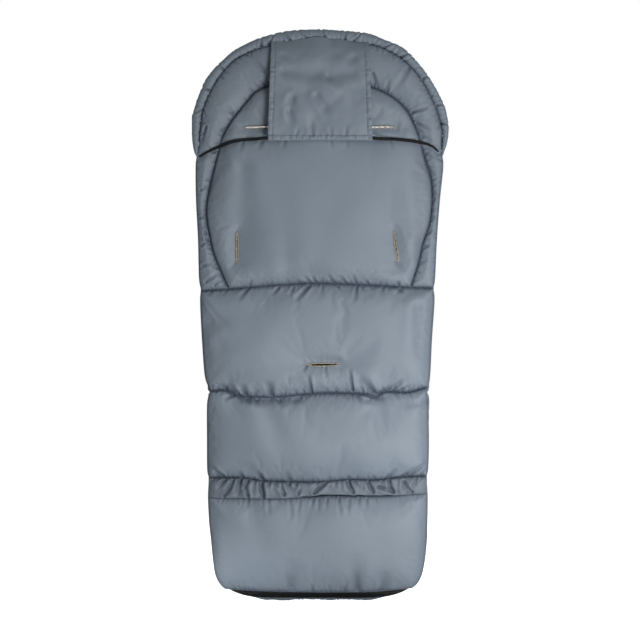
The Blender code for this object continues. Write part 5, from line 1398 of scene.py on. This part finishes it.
def tape_piece(name, node, body, start, end, keep):
    """A strip of zip tape between two shares of the wall, where keep says so."""
    shares = np.linspace(start, end, 5)
    grid = []
    for n, share in enumerate(shares):
        points = zip_wall(share)
        outs = wall_outs(points)
        ripple = np.array([noise.noise(Vector((p[0] / 0.03, p[2] / 0.03, 3.0))) for p in points])
        bulge = 0.0005 * ripple * math.sin(math.pi * n / 4.0)
        grid.append(points + outs * bulge[:, None])
    grid = np.array(grid)
    chosen = keep(grid[2])
    outs = wall_outs(grid[2])
    rings = []
    for k in np.flatnonzero(chosen):
        outer = [grid[n, k] + outs[k] * 0.5 * TAPE_THICK for n in range(5)]
        inner = [grid[n, k] - outs[k] * 0.5 * TAPE_THICK for n in range(4, -1, -1)]
        rings.append(outer + inner)
    piece = tube_piece(name, np.array(rings), zip_cloth, smooth=False)
    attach(piece, body)
    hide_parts(node)


def coil_piece(name, node, body, share, keep, start):
    """Half of the zip's coil along a share of the wall, where keep says so."""
    points = zip_wall(share)
    chosen = np.flatnonzero(keep(points))
    teeth(name, node, body, points[chosen], wall_outs(points)[chosen], (0.0010, 0.0017, 0.0020), start)


everywhere = lambda p: np.full(len(p), True)
below = lambda p: p[:, 2] < ANKLE_Z
above_left = lambda p: (p[:, 2] > ANKLE_Z) & (p[:, 0] < 0.0)
above_right = lambda p: (p[:, 2] > ANKLE_Z) & (p[:, 0] > 0.0)
depth_span = ZIP_FRONT_Y - ZIP_BACK_Y
back_coil = (ZIP_MIDDLE - COIL_AWAY - ZIP_BACK_Y) / depth_span
front_coil = (ZIP_MIDDLE + COIL_AWAY - ZIP_BACK_Y) / depth_span
back_tape = (ZIP_MIDDLE - TAPE_AWAY - ZIP_BACK_Y) / depth_span
front_tape = (ZIP_MIDDLE + TAPE_AWAY - ZIP_BACK_Y) / depth_span
tape_piece("zip_cloth_back", "zip_tape_back", "muff_back", -0.11, back_tape, everywhere)
coil_piece("zip_teeth_back", "zip_coil_back", "muff_back", back_coil, everywhere, 0.0)
for word, body, keep in (("foot", "muff_back", below), ("cover_left", "cover", above_left),
                         ("cover_right", "cover", above_right)):
    tape_piece("zip_cloth_" + word, "zip_tape_" + word, body, front_tape, TAPE_END, keep)
    coil_piece("zip_teeth_" + word, "zip_coil_" + word, body, front_coil, keep, 0.5 * TOOTH_PITCH)


# Front cover. Chest, lap and shin panels of the same nylon and wadding arch over the child's legs
# and are quilted to their own fleece. They close to the back with the side zip.
COVER_Y = 0.0304
COVER_DEPTH = 0.060
COVER_POWER = 2.2
MOUTH_Z = -0.235
CHEST_Z = -0.270
COVER_WAIST_Z = -0.4375
COVER_KNEE_Z = -0.6230
COVER_SEWN = 0.0044
MEAN_HALF = 0.195
COVER_STEPS = [(0.0, 0.013, 0.0030), (0.013, 0.030, 0.0042), (0.030, 1.0, 0.0064)]

sweep = np.linspace(0.0, math.pi, 721)
sweep_x = -MEAN_HALF * np.sign(np.cos(sweep)) * np.abs(np.cos(sweep)) ** (2.0 / COVER_POWER)
sweep_y = COVER_DEPTH * np.abs(np.sin(sweep)) ** (2.0 / COVER_POWER)
sweep_reach = np.concatenate([[0.0], np.cumsum(np.hypot(np.diff(sweep_x), np.diff(sweep_y)))])
GIRTH = sweep_reach[-1]


def arc_place(over, half, depth, z):
    """Points of the cover's inside. over runs from -GIRTH/2 at the left zip to GIRTH/2."""
    angle = np.interp(over + 0.5 * GIRTH, sweep_reach, sweep)
    across, up = np.cos(angle), np.maximum(np.sin(angle), 0.0)
    x = -half * np.sign(across) * np.abs(across) ** (2.0 / COVER_POWER)
    return np.stack([x, COVER_Y + depth * up ** (2.0 / COVER_POWER), z], axis=1)


TOE_ARC = 0.0880
toe_corner = ZIP_TOE_Z + TOE_CORNER_Z


def vault(plan):
    """Inside of the cover at a girth and a distance down, which turns in below the toe corner."""
    over, down = plan[:, 0], plan[:, 1]
    turn = np.clip((toe_corner - down) / TOE_ARC, 0.0, 1.0) * 0.5 * math.pi
    z = np.where(down > toe_corner, down, ZIP_TOE_Z + TOE_CORNER_Z * (1.0 - np.sin(turn)))
    half = zip_half(z) - TOE_CORNER_X * (1.0 - np.cos(turn))
    inside = np.clip((0.5 * GIRTH - np.abs(over)) / 0.016, 0.0, 1.0)
    half -= 0.0022 + 0.0130 * np.sin(turn) * inside
    depth = COVER_DEPTH * np.maximum(1.0 - np.sin(turn) ** COVER_POWER, 0.0) ** (1.0 / COVER_POWER)
    return arc_place(over, half, np.maximum(depth, 0.0005), z)


def on_cover(plan, height):
    """Places over the cover, with the height outwards from its inside."""
    step = 0.0015
    here = vault(plan)
    clamp = np.clip(plan, (-0.5 * GIRTH + step, -2.0), (0.5 * GIRTH - step, 2.0))
    right = vault(clamp + (step, 0.0)) - vault(clamp - (step, 0.0))
    down = vault(clamp - (0.0, step)) - vault(clamp + (0.0, step))
    out = np.cross(right, down)
    out[:, 2] *= 1.0 - np.clip((plan[:, 1] - toe_corner) / 0.020, 0.0, 1.0)
    out = unit(out)
    flat_edge = 0.30 + 0.70 * edge_roll(0.5 * GIRTH - np.abs(plan[:, 0]), 0.016)
    corner = np.clip((toe_corner - plan[:, 1]) / 0.030, 0.0, 1.0)
    corner *= np.exp(-((np.abs(here[:, 0]) - 0.138) / 0.042) ** 2)
    return here + out * (height * flat_edge * (1.0 - 0.75 * corner))[:, None]


def in_cover(plan, height):
    """Places inside the cover: the fleece stands inwards."""
    return on_cover(plan * (0.985, 1.0), 0.0030 - height)


half = 0.5 * GIRTH


def cover_outline(top, bottom):
    """Outline of a part of the cover, from zip to zip between two levels."""
    return ([(x, bottom) for x in np.linspace(-half, half, 120)]
            + [(half, z) for z in np.linspace(bottom, top, 50)[1:-1]]
            + [(x, top) for x in np.linspace(half, -half, 120)]
            + [(-half, z) for z in np.linspace(top, bottom, 50)[1:-1]])


for word, top, bottom, seed in (("chest", CHEST_Z, COVER_WAIST_Z, 71), ("lap", COVER_WAIST_Z, COVER_KNEE_Z, 72),
                                ("shin", COVER_KNEE_Z, ANKLE_Z, 73)):
    upper, lower = top - SEAM_GAP, bottom + SEAM_GAP
    folds = stitch_gathers([(half, upper), (-half, upper)], 1, 0.013, 0.011, 0.0020, seed)
    folds += stitch_gathers([(-half, lower), (half, lower)], 1, 0.013, 0.011, 0.0020, seed + 10)
    quilt(word + "_panel_quilt", cover_outline(upper, lower), "cover",
          [word + "_panel_outer", word + "_panel_wadding"], place=on_cover, curved=True, crown=0.0185,
          low=COVER_SEWN, base=0.0035, folds=folds, steps=COVER_STEPS, seed=seed, limit=0.0205)

quilt("cover_fleece", cover_outline(MOUTH_Z - 0.004, ANKLE_Z + 0.0003), "cover", ["cover_lining"],
      place=in_cover, curved=True, crown=0.0064, low=0.0030, base=0.0, slack=0.1,
      steps=[(0.0, 1.0, 0.0062)], seed=75, limit=0.0060, material=fleece,
      unevenness=0.0012, frames=6)


# Cuff. The cover's mouth is finished with a thick roll of the same fleece, turned over the edge
# and sewn down to the chest panel.
quilt("cover_cuff_fleece", cover_outline(MOUTH_Z, CHEST_Z + 0.0003), "cover", ["cover_cuff"],
      place=on_cover, curved=True, crown=0.0150, low=0.0050, base=-0.0006, slack=0.3,
      steps=[(0.0, 1.0, 0.0040)], seed=76, limit=0.0160,
      folds=stitch_gathers([(-half, CHEST_Z), (half, CHEST_Z)], 1, 0.016, 0.012, 0.0016, 77),
      material=fleece, unevenness=0.0016, frames=8)


# Toe box. Below the ankle's fold the cover closes round the foot end in one padded nose of nylon
# with fleece inside, and its zip isn't opened in use.
toe_bottom = toe_corner - TOE_ARC
folds = stitch_gathers([(half, ANKLE_Z), (-half, ANKLE_Z)], 1, 0.013, 0.010, 0.0018, 78)
folds += stitch_gathers([(-half, toe_bottom), (half, toe_bottom)], 1, 0.010, 0.014, 0.0022, 79)
quilt("toe_panel_quilt", cover_outline(ANKLE_Z - 0.0003, toe_bottom), "muff_back",
      ["toe_panel_outer", "toe_panel_wadding"], place=on_cover, curved=True, crown=0.0160, low=COVER_SEWN,
      base=0.0035, folds=folds, steps=COVER_STEPS, seed=80, limit=0.0185)
quilt("toe_fleece", cover_outline(ANKLE_Z - 0.0003, toe_bottom + 0.022), "muff_back", ["toe_lining"],
      place=in_cover, curved=True, crown=0.0050, low=0.0028, base=0.0, slack=0.1,
      steps=[(0.0, 1.0, 0.0062)], seed=81, limit=0.0056, material=fleece,
      unevenness=0.0010, frames=6)


# Sliders and pullers. Painted metal zip sliders, each with a bridge that carries a flat puller, and
# the small locked slider of the hidden zip.
zip_metal, tree = new_finish("zip_slider_metal", Metallic=0.9)
two_tone(tree, speckle(tree, 160.0, 3.0), (0.045, 0.047, 0.050), (0.085, 0.088, 0.094))
uneven_gloss(tree, 0.24, 0.46, speckle(tree, 90.0, 3.0))
for node in ("zip_slider_left", "zip_slider_right", "zip_puller_left", "zip_puller_right", "length_zip_slider"):
    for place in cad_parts[node].material_slots:
        place.material = zip_metal
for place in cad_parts["hood_elastic"].material_slots:
    place.material = elastic
